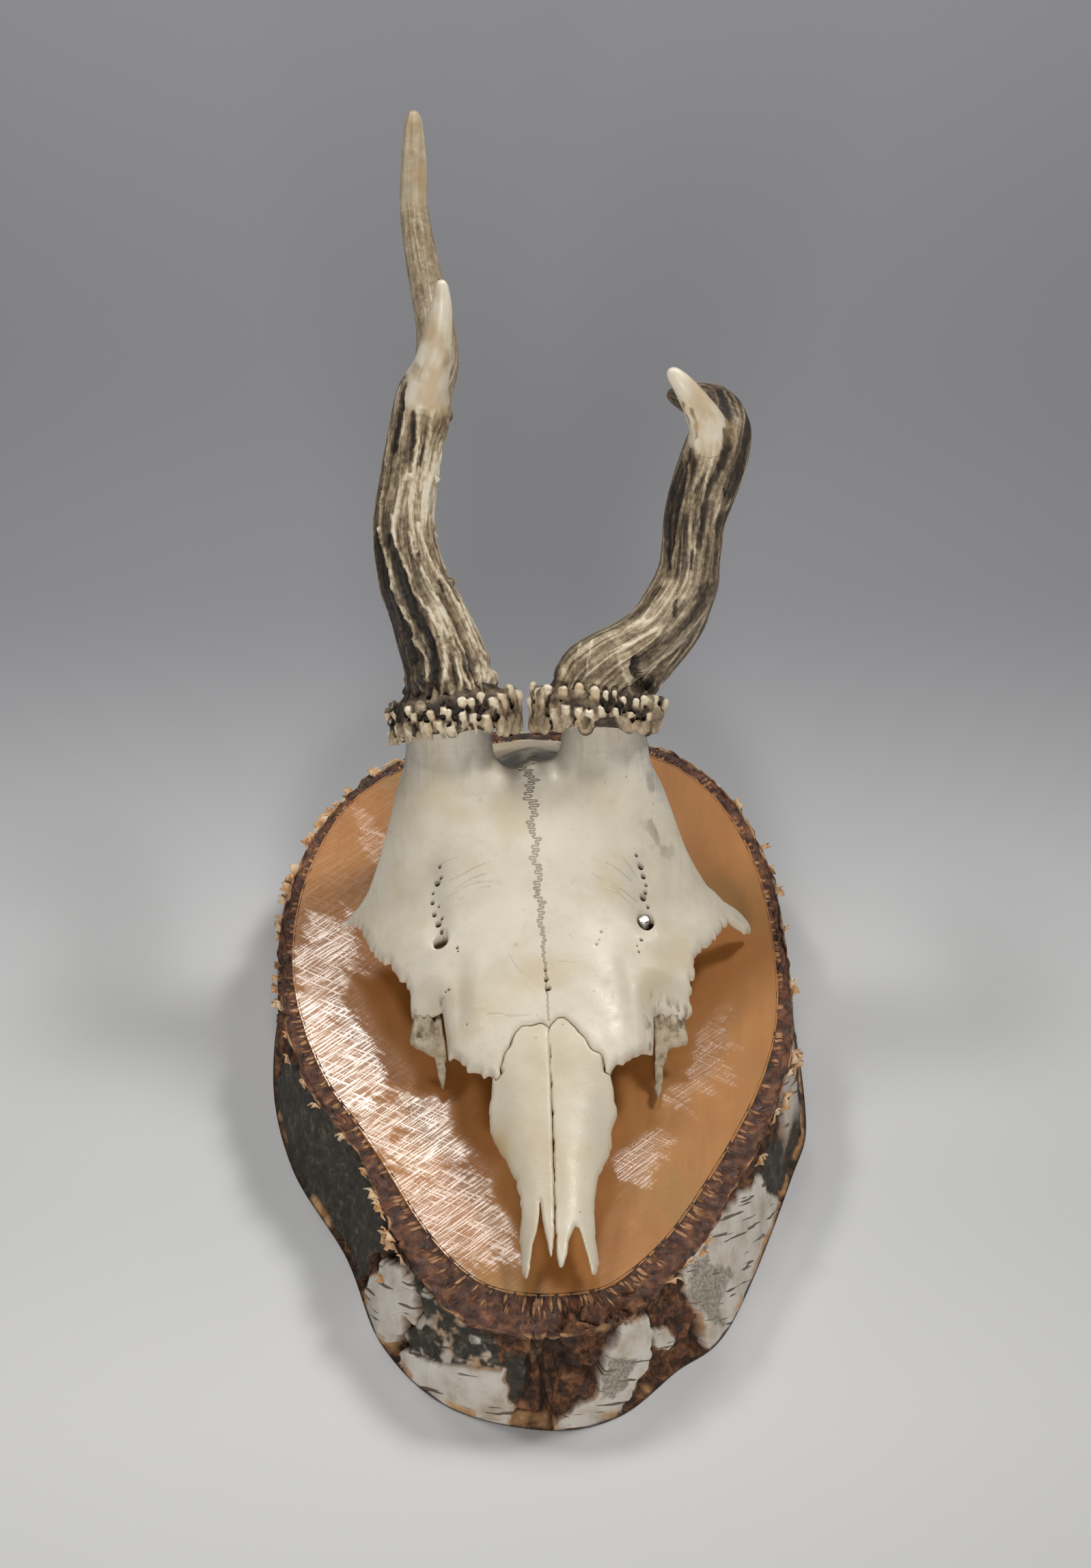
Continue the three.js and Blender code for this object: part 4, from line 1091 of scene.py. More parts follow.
def frontals():
    """Both frontal bones with their pedicles, as one body, finely split near its marks."""
    field = Field((-48, -13, -1.5), (49, 77, 48), CELL["frontals"])
    x, y, z, _ = field.axes()
    plan_x, plan_y, flat = field.plan()
    edge = frontal_plan(plan_x, plan_y)
    top = cap_top(plan_x, plan_y) + 0.25 * noise(flat, 7, 2, 2)
    plate = plate_distance(field, top, cap_bottom(plan_x, plan_y), 1.0)
    plate = soft_max(plate, column(edge), 1.1)
    dome = braincase_distance(field)
    roof = np.maximum(dome + 6 * step(64, 50, y).astype(np.float32), 45 - y)
    field.value = soft_min(plate, roof, 2.5)
    stems = field.like()
    for stations in PEDICLES.values():
        stems.rod(smooth_path(stations, 6))
    field.value = soft_min(field.value, stems.value, 6.5)
    past = y - coronal_suture(x)
    field.value = np.maximum(field.value, np.minimum(past, -(dome - 0.6)))
    field.value = np.maximum(field.value, LOWEST - z)
    carve_foramina(field)
    points, faces = field.surface()
    facing = normals(points, faces)[:, 2] > 0.1
    middle = points[faces].mean(axis=1)
    x, y = middle[:, 0], middle[:, 1]
    near = (np.abs(x - along(MIDLINE_SUTURE, y)) < 2.9) & (y > 1.5) & (y < 67)
    near |= (np.abs(np.abs(x) - 20.6) < 3.6) & (y > 18) & (y < 43)
    return refine(points, faces, near & facing[faces].all(axis=1))


def carve_foramina(field):
    """The large hole of the right groove, and the left one that the nail stands in."""
    right = cap_top(np.array([-21.2]), np.array([25.0]))[0]
    field.capsule((-21, 26.4, right + 0.9), (-21.3, 24.2, right - 3.2), 1.3, 1.3, 0.4, carve=True)
    field.capsule((-21.2, 25, right + 0.9), (-21.3, 24.2, right - 3.6), 1.6, 1.4, 0.4, carve=True)
    left = cap_top(np.array([PIN["x"]]), np.array([27.5]))[0]
    hole_x, hole_y = PIN["x"] + 0.35, PIN["y"] - 0.45
    field.capsule((hole_x, hole_y, left + 2), (hole_x, hole_y, left - 9), 1.8, 1.75, 0.4, carve=True)


def skull_piece(name, points, faces, material, nodes, slot, **floats):
    """A piece given in the skull's frame; the values that bone reads are 0 if not given."""
    floats = {**{key: np.zeros(len(points)) for key in ("cool", "warm", "streak", "dark")}, **floats}
    vectors = {"local": points}
    mesh_piece(name, to_world(points), faces, material, nodes, floats, vectors)


def make_frontals(material):
    """The frontal bones: relief and colour of the suture, vessels and worn parts, sunk holes and painted
    shade inside them.
    """
    points, faces = frontals()
    x, y, z = points.T
    seen = in_picture(to_world(points))
    upper = step(-2.2, -0.8, z - cap_top(x, y)) + step(52, 58, y) * (z > 15)
    upper = np.clip(upper, 0, 1)
    line = line_distance(points[:, :2], [midline_suture()], 1.0)
    groove = step(0.24, 0.05, line) * upper
    scratch = step(1.5, 0.2, line_distance(seen, VESSELS, 2)) * upper * (np.abs(x) > 3)
    sink = 0.28 * groove + 0.06 * scratch
    # The holes are sunk a little, and their insides are darkened as painted shade.
    hole_shade = np.zeros(len(points))
    for *hole, radius in FORAMINA:
        away = gap_to(points, hole)
        sink += 1.5 * radius * step(1.15 * radius, 0.45 * radius, away) * upper
        hole_shade = np.maximum(hole_shade, step(1.05 * radius, 0.4 * radius, away) * upper)
    for *hole, radius in WIDE_HOLES:
        inside = step(1.25 * radius, 0.9 * radius, gap_to(points, hole))
        hole_shade = np.maximum(hole_shade, 0.92 * inside * step(-0.3, -2.6, z - cap_top(x, y)))
    points = points.copy()
    points[:, 2] -= sink
    tones = frontal_tones(points, seen, groove, scratch, hole_shade)
    nodes = ("frontal_right", "frontal_left")
    skull_piece("skull_frontals", points, faces, material, nodes, "bone", **tones)


def frontal_tones(points, seen, groove, scratch, hole_shade):
    """How cool, warm, dark and streaked the frontal bones are at their points; part of the cool and dark
    tone is painted shade.
    """
    x, y, _ = points.T
    side = np.abs(x)
    soil = noise(points, 4, 8, 3)
    fine = noise(points, 1.2, 9, 3)
    pedicle = step(50, 60, y) * step(6, 11, side)
    trough = bell(side - 20.3, 3.6) * bell(y - 36, 8)
    cool = 0.5 * trough + 0.3 * bell(side - 17, 3) * bell(y - 6, 10)
    cool = cool + 0.2 * bell(side - 24, 3) * bell(y - 20, 7)
    # On the pedicles the cooler, darker tone is partly painted shade from the coronets above.
    cool = cool * (0.8 + 0.6 * soil) + pedicle * (0.15 + 0.3 * step(-0.3, 0.5, soil))
    # Painted shade: a cooler, darker tone in the hollows beside the ridge between the pedicles.
    cool += 0.5 * bell(side - 9, 4.5) * bell(y - 66, 4.5) * step(-0.4, 0.4, fine + 0.4)
    cool += 0.35 * step(20, 24, x) * step(52, 58, y) * step(-0.2, 0.5, fine)
    warm = 0.7 * step(4.5, 2, gap_to(seen, FOREHEAD_SPOT))
    warm += 0.5 * step(7, 2, gap_to(seen, FRONT_SPOT)) * step(-0.2, 0.3, fine)
    stained = 0.3 * step(0.1, 0.6, noise(points, 9, 12, 2))
    warm += stained + 0.25 * step(28, 38, side) * step(-0.2, 0.5, soil)
    warm += 0.3 * step(-1.5, -4.5, y) * step(0, 0.5, soil)
    dark = np.maximum((0.62 + 0.25 * step(45, 58, y)) * groove * (0.85 + 0.35 * soil), hole_shade)
    torn = noise(points * np.array([1, 0.35, 0.35]), 0.9, 13, 2)
    lip = step(14, 11.5, y) * step(19.5, 21.5, side) * step(0.0, 0.45, torn)
    broken = bell(x - 26, 3.5) * bell(y - 50, 8) * step(0.25, 0.5, noise(points, 3, 14, 3))
    # Painted shade, with some dirt, darkens those hollows further.
    shade_and_grime = 0.5 * bell(side - 9, 3.4) * bell(y - 67.5, 2.8) * step(-0.6, 0.3, fine)
    for mark in (0.3 * scratch * step(-0.6, 0.4, soil), 0.6 * lip, 0.6 * broken, shade_and_grime):
        dark = np.maximum(dark, mark)
    streak = np.clip(0.35 * pedicle + 0.25 * step(22, 28, side) * step(30, 45, y), 0, 1)
    return dict(cool=np.clip(cool, 0, 0.7), warm=np.clip(warm, 0, 0.8), dark=np.clip(dark, 0, 1),
                streak=streak)


def make_parietal(material):
    """The roof of the braincase, behind the coronal suture."""
    field = Field((-33, CORONAL_SUTURE - 3, -1.5), (33, 100, 37), CELL["parietal"])
    x, y, _, _ = field.axes()
    start = coronal_suture(x) + 0.05 - y
    field.value = np.maximum(braincase_distance(field), start).astype(np.float32)
    points, faces = field.surface()
    outward = normals(points, faces)
    free = step(CORONAL_SUTURE + 0.5, CORONAL_SUTURE + 3, points[:, 1])
    points = points + outward * (free * (0.2 * noise(points, 6, 21, 2) - 0.2))[:, None]
    points[:, 2] = np.maximum(points[:, 2], LOWEST)
    warm = np.clip(0.45 + 0.4 * noise(points, 10, 22, 2), 0, 0.8)
    seen = in_picture(to_world(points))
    crack = step(1.6, 0.3, line_distance(seen, PARIETAL_CRACKS, 2)) * step(76, 78, points[:, 1])
    skull_piece("skull_parietal", points, faces, material, ("parietal",), "bone",
                warm=warm, dark=0.6 * crack)


def make_nasal(name, outline, side, material, node):
    """One nasal bone: thin, arched along its outer edge, with two prongs in front."""
    field = Field((-15, -57.5, -1.5), (16, 6, 23), CELL["nasal"])
    x, y, flat = field.plan()
    middle = along(MIDLINE_SUTURE, y)
    edge = outline_distance(outline, x, y)
    torn = step(-8, -14, y) * step(5, 7, np.abs(x))
    edge = edge + 0.3 * torn * noise(flat, 1.3, 31) + 0.12 * noise(flat, 2.5, 32)
    edge = soft_max(edge, 0.22 + 0.25 * noise(flat, 1.1, 36, 2) - frontal_plan(x, y), 0.3)
    wavering = middle + 0.22 * np.sin(0.9 * y) + 0.12 * np.sin(2.9 * y)
    cut = 0.35 * step(-40, -54, y) - 0.1 - side * (x - wavering)
    top = cap_top(x, y) - 0.15 * bell(x - middle, 0.7) * step(2, -6, y)
    swell = 0.35 * bell(y + 3, 5) * bell(np.abs(x - middle) - 3, 2.5)
    top += swell + 0.1 * noise(flat, 5, 33, 2)
    thickness = 1.25 + 0.7 * step(-48, -10, y)
    plate = plate_distance(field, top, np.maximum(top - thickness, 0.4), 0.5)
    field.value = soft_max(plate, column(edge), 0.8)
    field.value = soft_max(field.value, column(cut), 0.2)
    points, faces = field.surface()
    x, y, _ = points.T
    soil = noise(points, 3, 34, 3)
    border = step(-1.6, 0.2, outline_distance(outline, x, y))
    stain = bell(x + 11.2, 2.0) * bell(y + 24.5, 4.0)
    warm = 0.22 + 1.2 * stain + 0.3 * border * step(-0.2, 0.5, soil)
    warm = warm + 0.2 * step(0.1, 0.6, noise(points, 11, 35, 2))
    cool = 0.3 * bell(y + 14, 12) * bell(np.abs(x) - 9, 3)
    suture = step(0.75, 0.25, frontal_plan(x, y)) * (0.35 + 0.35 * soil)
    crack = step(0.5, 0.1, np.abs(x - along(MIDLINE_SUTURE, y))) * (0.14 + 0.4 * soil)
    dark = np.clip(np.maximum(suture, crack), 0, 0.8)
    skull_piece(name, points, faces, material, (node,), "bone",
                warm=np.clip(warm, 0, 1), cool=cool, dark=dark)


def make_lacrimal(name, outline, material, node):
    """A thin plate of broken bone, joined to the frontal by a toothed suture."""
    field = Field((-31, -8, -1.5), (32, 14, 16), CELL["lacrimal"])
    x, y, flat = field.plan()
    s = LACRIMAL_SLOPE
    slope = s["z"] + (y - s["y"]) * s["rise"] - (np.abs(x) - s["x"]) * s["fall"]
    fluted = np.abs(noise(flat * np.array([1, 0.3, 1]), 1.4, 44, 2)) * step(7, 10, y)
    top = np.maximum(slope, s["lowest"]) + 0.4 * noise(flat, 1.8, 41, 2) + 0.3
    top = top - 1.6 * step(0.2, 0, fluted) * step(7, 10, y)
    edge = outline_distance(outline, x, y) + 0.35 * noise(flat, 1.2, 42)
    plate = plate_distance(field, top, np.maximum(top - 1.5, 0.35), 0.5)
    field.value = soft_max(plate, column(edge), 0.6)
    points, faces = field.surface()
    reach = np.abs(points * np.array([1, 0.3, 0.3]))
    seams = step(0.2, 0.05, np.abs(noise(reach, 1.4, 44, 2))) * step(7, 10.5, points[:, 1])
    low = step(2, -2, points[:, 1]) * step(0, 0.5, noise(points, 2, 45, 2))
    dark = 0.75 * seams + 0.5 * low + 0.35 * step(0.3, 0.6, noise(points, 1.6, 43, 2))
    skull_piece(name, points, faces, material, (node,), "lacrimal", dark=np.clip(dark, 0, 0.85))


def make_pin(material):
    """The nail's cut end, standing in the left foramen."""
    radius, bevel, sides = PIN["radius"], PIN["bevel"], PIN["sides"]
    centre = to_world(np.array([PIN["x"], PIN["y"], 0]))
    low, high = PLAQUE - PIN["depth"], PLAQUE + PIN["top"]
    profile = [(0.01, low), (radius, low), (radius, high - bevel), (radius - bevel * 0.4, high - 0.05),
               (radius - bevel, high - 0.02), (0.01, high - 0.08)]
    angle = np.arange(sides) * 2 * math.pi / sides
    rings = []
    for reach, height in profile:
        rings.append(np.stack([centre[0] + reach * np.cos(angle), centre[1] + reach * np.sin(angle),
                               np.full(sides, height)], axis=1))
    faces = []
    for ring in range(len(profile) - 1):
        for k in range(sides):
            a, b = ring * sides + k, ring * sides + (k + 1) % sides
            faces.append((a, b, b + sides, a + sides))
    mesh_piece("nail", np.vstack(rings), np.array(faces), material, ("pin_steel",))


# -------------------------------------------------------------------------- antlers


class Run:
    """A rod's own coordinates: how far along it a place lies, and on which side."""

    def __init__(self, stations):
        self.path = smooth_path(stations, 8)
        centre = self.path[:, :3]
        self.forward = np.gradient(centre, axis=0)
        self.forward /= np.linalg.norm(self.forward, axis=1, keepdims=True)
        self.length = np.concatenate([[0], np.cumsum(np.linalg.norm(np.diff(centre, axis=0), axis=1))])
        across = np.array([1.0, 0, 0])
        sides = []
        for way in self.forward:
            across = across - way * (across @ way)
            across /= np.linalg.norm(across)
            sides.append(across.copy())
        self.across = np.array(sides)
        self.up = np.cross(self.forward, self.across)

    def locate(self, points):
        """Gap from the rod's surface, distance along it and angle round it."""
        gap, run, angle = [], [], []
        for chunk in np.array_split(points, max(1, len(points) // 20000)):
            away = chunk[:, None, :] - self.path[None, :, :3]
            reach = np.linalg.norm(away, axis=2) - self.path[None, :, 3]
            k = reach.argmin(axis=1)
            rows = np.arange(len(chunk))
            off = away[rows, k]
            gap.append(reach[rows, k])
            run.append(self.length[k] + (off * self.forward[k]).sum(axis=1))
            angle.append(np.arctan2((off * self.up[k]).sum(axis=1), (off * self.across[k]).sum(axis=1)))
        return np.concatenate(gap), np.concatenate(run), np.concatenate(angle)


def grain_of(run, angle):
    """Coordinates that follow the rod, so that noise in them makes long streaks."""
    return np.stack([6.5 * np.cos(angle), 6.5 * np.sin(angle), run * 0.1], axis=1)


def ridges(grain, size, seed, sharp):
    """Thin crests that wander along the grain: 1 on a crest, 0 away from it."""
    return step(sharp, 0, np.abs(noise(grain, size, seed, 2)))


def drawn_marks(points, outward, marks):
    """Height and tone that a list of marks gives to the places that the picture shows."""
    seen = in_picture(points)
    facing = step(0.05, 0.4, -(outward @ VIEW_WAY))
    waver = np.stack([noise(points, 2.2, 141, 2), noise(points, 2.2, 142, 2)], axis=1)
    jitter = np.stack([noise(points, 0.9, 143, 2), noise(points, 0.9, 144, 2)], axis=1)
    height, tone = np.zeros(len(points)), np.zeros(len(points))
    for half, rise, shade, line in marks:
        reach = 2.2 * half + 3
        away = line_distance(seen + 3.0 * waver + 2.0 * jitter, [line], reach)
        share = step(1.25 * half, 0.35 * half, away) * facing
        height += rise * share
        tone += shade * share
    return height, tone


def antler_body(name, rods, joins, low, high, character, marks, material, nodes):
    """An antler from rods blended at their joins; each rod's character gives its relief,
    tone and polish, and the marks are laid over them."""
    field = Field(low, high, CELL["antler"])
    for stations, join in zip(rods, joins):
        part = field.like()
        part.rod(smooth_path(stations, 8))
        if join:
            field.value = soft_min(field.value, part.value, join)
        else:
            field.value = np.minimum(field.value, part.value)
    points, faces = field.surface()
    outward = normals(points, faces)
    runs = [Run(stations).locate(points) for stations in rods]
    gaps = np.stack([gap for gap, _, _ in runs], axis=1)
    weight = np.exp(-(gaps - gaps.min(axis=1, keepdims=True)) / 0.7)
    weight /= weight.sum(axis=1, keepdims=True)
    depth, tone = drawn_marks(points, outward, marks)
    depth, tone = depth * 0.8, tone * 0.8
    polish = np.zeros(len(points))
    grain = np.zeros((len(points), 3))
    for k, (_, run, angle) in enumerate(runs):
        own = grain_of(run, angle)
        d, t, c = character[k](run, angle, own, points)
        depth += weight[:, k] * d
        tone += weight[:, k] * t
        polish += weight[:, k] * c
        grain += np.where(weight[:, k:k + 1] > 0.5, own, 0)
    points = points + outward * depth[:, None]
    floats = dict(tone=np.clip(tone, 0, 1), polish=np.clip(polish, 0, 1))
    mesh_piece(name, points, faces, material, nodes, floats, {"grain": grain})


def furrows(run, own, points, amount, base, seed):
    """Depth and tone of a furrowed stretch: cream crests over dark brown furrows."""
    crest = ridges(own, 3.0, seed, 0.14)
    minor = ridges(own, 1.5, seed + 1, 0.2)
    swell = noise(own, 4, seed + 2, 2)
    crumbs = noise(points, 1.3, seed + 3, 2)
    depth = amount * (0.6 * crest + 0.3 * minor + 0.4 * swell - 0.45) + 0.16 * amount * crumbs
    tone = base + 0.3 * crest + 0.18 * minor + 0.16 * swell + 0.08 * crumbs
    return depth, tone


def right_beam(run, angle, own, points):
    """Dark and coarse at the foot, finer above, beige and mottled towards the top."""
    coarse = step(78, 40, run)
    smooth = step(68, 88, run)
    inner = np.cos(angle)  # 1 on the side of the other antler
    depth, tone = furrows(run, own, points, 0.3 + 0.6 * coarse, 0.31, 51)
    tone += 0.17 * step(-0.5, 0.7, inner) - 0.12 * step(-0.3, -0.9, inner) * step(80, 60, run)
    tone += 0.2 * step(30, 50, run) * (1 - smooth)
    warts = step(0.22, 0.6, noise(points, 2.4, 55, 2)) * step(0.2, 0.8, inner) * step(14, 24, run)
    depth += 0.8 * warts * step(72, 62, run)
    foot = step(17, 7, run)
    depth += foot * (1.3 * noise(points, 2.6, 57, 2) + 0.3)
    tone += foot * 0.5 * noise(points, 2.2, 57, 3)
    top = 0.60 + 0.16 * noise(own, 1.6, 58, 3) + 0.1 * noise(points, 2.2, 59, 3)
    top = top + 0.05 * step(85, 110, run)
    tone = tone * (1 - smooth) + top * smooth
    rough_patch = bell(run - 66, 6.5) * step(0.1, 0.8, np.cos(angle + 0.5))
    depth += rough_patch * (0.9 + 1.1 * noise(points, 2.2, 59, 2))
    tone -= 0.38 * rough_patch
    tip = step(117, 124, run)
    tone += 0.1 * tip
    depth *= 1 - 0.75 * smooth * (1 - rough_patch)
    return depth - 0.1, tone, 0.2 * smooth + 0.65 * tip


def right_tine(run, angle, own, points):
    """Polished ivory, darker where it leaves the beam."""
    depth, tone = furrows(run, own, points, 0.35, 0.36, 61)
    ivory = step(-5, 6, run + 4 * noise(own, 2.0, 63, 2))
    ochre = bell(run - 15, 7) * step(0.1, 0.6, noise(points, 4, 64, 2) + 0.5 * np.abs(np.cos(angle)))
    tone = tone * (1 - ivory) + (0.95 - 0.24 * ochre + 0.07 * noise(own, 1.8, 62, 2)) * ivory
    return depth * (1 - ivory) - 0.08, tone + 0.12 * step(26, 34, run), 0.15 + 0.8 * ivory


def left_ridge(run, angle, own, points):
    """A mottled swollen foot, a streaked grey-brown beam and a paler hook."""
    coarse = step(40, 20, run)
    depth, tone = furrows(run, own, points, 0.22 + 0.25 * coarse, 0.42, 71)
    foot = step(15, 6, run)
    depth += foot * 0.9 * noise(points, 2.4, 77, 2)
    tone += foot * (0.45 * noise(points, 2.0, 77, 3) - 0.12)
    tone += 0.12 * bell(run - 26, 16) * step(-0.4, 0.6, -np.sin(angle))
    beam = step(38, 52, run)
    tone -= 0.1 * beam * step(0.5, 0.95, -np.cos(angle)) + 0.18 * beam
    tone += 0.1 * step(66, 84, run) * (0.5 + 0.8 * noise(own, 2.2, 78, 2))
    return depth - 0.1, tone, 0.3 * step(78, 92, run)


def left_strut(run, angle, own, points):
    """The brace below the ridge, knobbly at its foot."""
    depth, tone = furrows(run, own, points, 0.4, 0.36, 81)
    knobs = step(0.1, 0.6, noise(points, 1.8, 83, 2)) * step(16, 8, run)
    return depth - 0.1 + 0.6 * knobs, tone + 0.4 * knobs, np.zeros(len(run))


def left_tine(run, angle, own, points):
    """Polished ivory like the right one, a little smoother at its foot."""
    depth, tone = furrows(run, own, points, 0.2, 0.5, 91)
    ivory = step(-3, 6, run + 3 * noise(own, 2.2, 93, 2))
    tone = tone * (1 - ivory) + (0.93 + 0.05 * noise(own, 2.0, 92, 2)) * ivory
    return depth * (1 - ivory) - 0.08, tone + 0.1 * step(18, 26, run), 0.15 + 0.8 * ivory


class Coronet:
    """A crusted ring round an antler's foot: pearls on ribs above, a toothed frill below."""

    def __init__(self, side):
        self.side, self.seed = side, SEEDS[side]
        x0, y0, z0, self.radius = CORONETS[side]
        self.centre = np.array([x0, y0, z0])
        self.cos, self.sin = math.cos(CORONET_TIP[side]), math.sin(CORONET_TIP[side])
        self.axis = self.cos * LEAN - self.sin * SIDEWAYS
        self.across = self.cos * SIDEWAYS + self.sin * LEAN
        self.back = np.cross(self.axis, self.across)  # away from the camera
        self.pixels = in_picture(self.centre[None])[0]
        self.scale = FOCAL_PIXELS / ((self.centre - EYE) @ VIEW_WAY)  # pixels in a millimetre
        self.rng = np.random.default_rng(self.seed)
        margin = self.radius + 3.2
        self.field = Field(self.centre - margin, self.centre + margin, CELL["coronet"])
        x, y, z, _ = self.field.axes()
        x, y, z = x - x0, y - y0, z - z0
        height = x * self.axis[0] + y * self.axis[1] + z * self.axis[2]
        out = np.sqrt(np.maximum(x**2 + y**2 + z**2 - height**2, 0))
        waist = along(CORONET_WAIST, height).astype(np.float32) + 0.3
        body = soft_max(out - waist, np.abs(height + 0.1) - 3.7, 1.6)
        self.field.value = body.astype(np.float32)

    def from_picture(self, px, py):
        """Offset along the coronet and height on it, in mm, of a place in the photograph."""
        right, rise = (px - self.pixels[0]) / self.scale, (self.pixels[1] - py) / self.scale
        return self.cos * right + self.sin * rise, self.cos * rise - self.sin * right

    def spot(self, angle, reach, high):
        """The place at an angle round the axis, a reach from it and a height along it."""
        way = math.cos(angle) * self.across + math.sin(angle) * self.back
        return self.centre + reach * way + high * self.axis

    def frill_height(self, angle):
        """Where the frill ends: as drawn on the seen side, level behind."""
        places = np.array([self.from_picture(*place) for place in FRILL_EDGE[self.side]])
        seen_here = np.interp(math.cos(angle) * (self.radius - 0.8), places[:, 0], places[:, 1])
        return seen_here if math.sin(angle) < 0 else max(-4.4, 0.5 * seen_here - 2.2)

    def rod(self, angle, turn, top, bottom, sizes, depth, blend):
        """A rib or tooth that hangs down the coronet's side, bent and swollen on its way."""
        rng = self.rng
        share = np.array([0, 0.33, 0.66, 1])
        bend = np.array([0, 0.05, 0.05, 0]) * rng.normal(0, 1, 4) * min(1, (top - bottom) / 3)
        sway = turn * share + bend
        swell = 1 + 0.16 * rng.normal(0, 1, 4)
        reach = self.radius - depth - sizes[0] - 0.35 * rng.random(4)
        high = top + (bottom - top) * share
        wide = (sizes[0] + (sizes[1] - sizes[0]) * share) * swell
        places = [self.spot(angle + sway[k], reach[k], high[k]) for k in range(4)]
        for k in range(3):
            self.field.capsule(places[k], places[k + 1], wide[k], wide[k + 1], blend)

    def add_crust(self):
        """The lumpy body, thick folds at the inner end and knobs at the outer one."""
        rng, rod = self.rng, self.rod
        inner = 0.0 if self.side == "right" else math.pi  # the end next to the other coronet
        for _ in range(CORONET_COUNTS["lumps"]):
            angle = 2 * math.pi * rng.random()
            wide = 0.9 + 0.9 * rng.random()
            top = -1.5 + 4.5 * rng.random()
            rod(angle, 0.05 * rng.normal(), top, top - 2.5, (wide, wide), 0.9 + 1.2 * rng.random(), 0.9)
        folds = CORONET_COUNTS["folds"]
        for k in range(folds):
            angle = inner + 1.76 * (k / (folds - 1) - 0.5) + 0.08 * rng.normal()
            wide = 1.0 + 0.6 * rng.random()
            bottom = max(self.frill_height(angle) + wide, -5.6) - 0.6
            rod(angle, 0.08 * rng.normal(), 0.8 + 3.0 * rng.random(), bottom, (wide * 0.9, wide),
                0.25 * rng.random(), 0.45)
        for _ in range(CORONET_COUNTS["knobs"]):
            angle = inner + math.pi + 0.5 * rng.normal()
            wide = 0.7 + 0.6 * rng.random()
            top = -3.5 + 6.5 * rng.random()
            rod(angle, 0.04 * rng.normal(), top, top - 1.5, (wide, wide * 0.8), -0.2, 0.4)

    def add_pearls(self):
        """The pearls and their ribs, as drawn on the seen side and strewn on the far one:
        a list of angle, height, size, length of the rib and distance from the axis."""
        rng, radius = self.rng, self.radius
        pearls = []
        for px, py, wide, tail in PEARLS[self.side]:
            along_it, high = self.from_picture(px, py)
            size = wide / self.scale
            reach = max(radius - size - 0.35 * rng.random(), abs(along_it) + 0.01)
            angle = -math.acos(along_it / reach)
            pearls.append((angle, high, size, tail / self.scale, reach))
        far_pearls = CORONET_COUNTS["far_pearls"]
        for k in range(far_pearls):
            angle = math.pi * (k + 0.2 + 0.6 * rng.random()) / far_pearls
            size = 0.65 + 0.45 * rng.random()
            high = 0.6 + 2.4 * rng.random()
            pearls.append((angle, high, size, 1 + 3 * rng.random(), radius - size))
        for angle, high, size, tail, reach in pearls:
            place = self.spot(angle, reach, high)
            under = self.spot(angle, reach - 0.1, high - 0.5 * size)
            self.field.capsule(place, under, size, size * 0.92, 0.25)
            lower = max(high - tail - size, -4.6)
            foot = self.spot(angle + 0.05 * rng.normal(), reach - 0.2, lower)
            self.field.capsule(place, foot, 0.7 * size, 0.5 * size, 0.4)
        return pearls

    def add_teeth(self):
        """The frill's teeth, crumbs, ribs that run on into the antler, and recesses."""
        rng, field, radius = self.rng, self.field, self.radius
        teeth = CORONET_COUNTS["teeth"]
        for k in range(teeth):
            angle = 2 * math.pi * (k + 0.7 * rng.random()) / teeth
            wide = 0.42 + 0.5 * rng.random()
            low = self.frill_height(angle) + wide + 0.6 * rng.random()
            self.rod(angle, 0.04 * rng.normal(), low + 1.2 + 1.8 * rng.random(), low,
                     (wide * 1.25, wide), 0.15 + 0.7 * rng.random(), 0.35)
        for _ in range(CORONET_COUNTS["crumbs"]):
            angle = 2 * math.pi * rng.random()
            wide = 0.25 + 0.4 * rng.random()
            top = -3.2 + 7.4 * rng.random()
            self.rod(angle, 0.08 * rng.normal(), top, top - 0.9, (wide, wide),
                     0.6 + 1.4 * rng.random(), 0.25)
        for _ in range(CORONET_COUNTS["ribs"]):
            angle = 2 * math.pi * rng.random()
            wide = 0.45 + 0.45 * rng.random()
            start = self.spot(angle, 9.9 + 0.8 * rng.random(), 2.0 + 1.2 * rng.random())
            field.capsule(start, self.spot(angle, 8.3, 6.4), wide, wide * 0.6, 0.8)
        for _ in range(CORONET_COUNTS["recesses"]):
            angle = 2 * math.pi * rng.random()
            high = -2.4 + 5.2 * rng.random()
            bite = 0.3 + 0.45 * rng.random()
            start = self.spot(angle, radius - 1.2, high)
            end = self.spot(angle, radius - 1.7, high - 2.2 * rng.random())
            field.capsule(start, end, bite, bite, 0.3, carve=True)

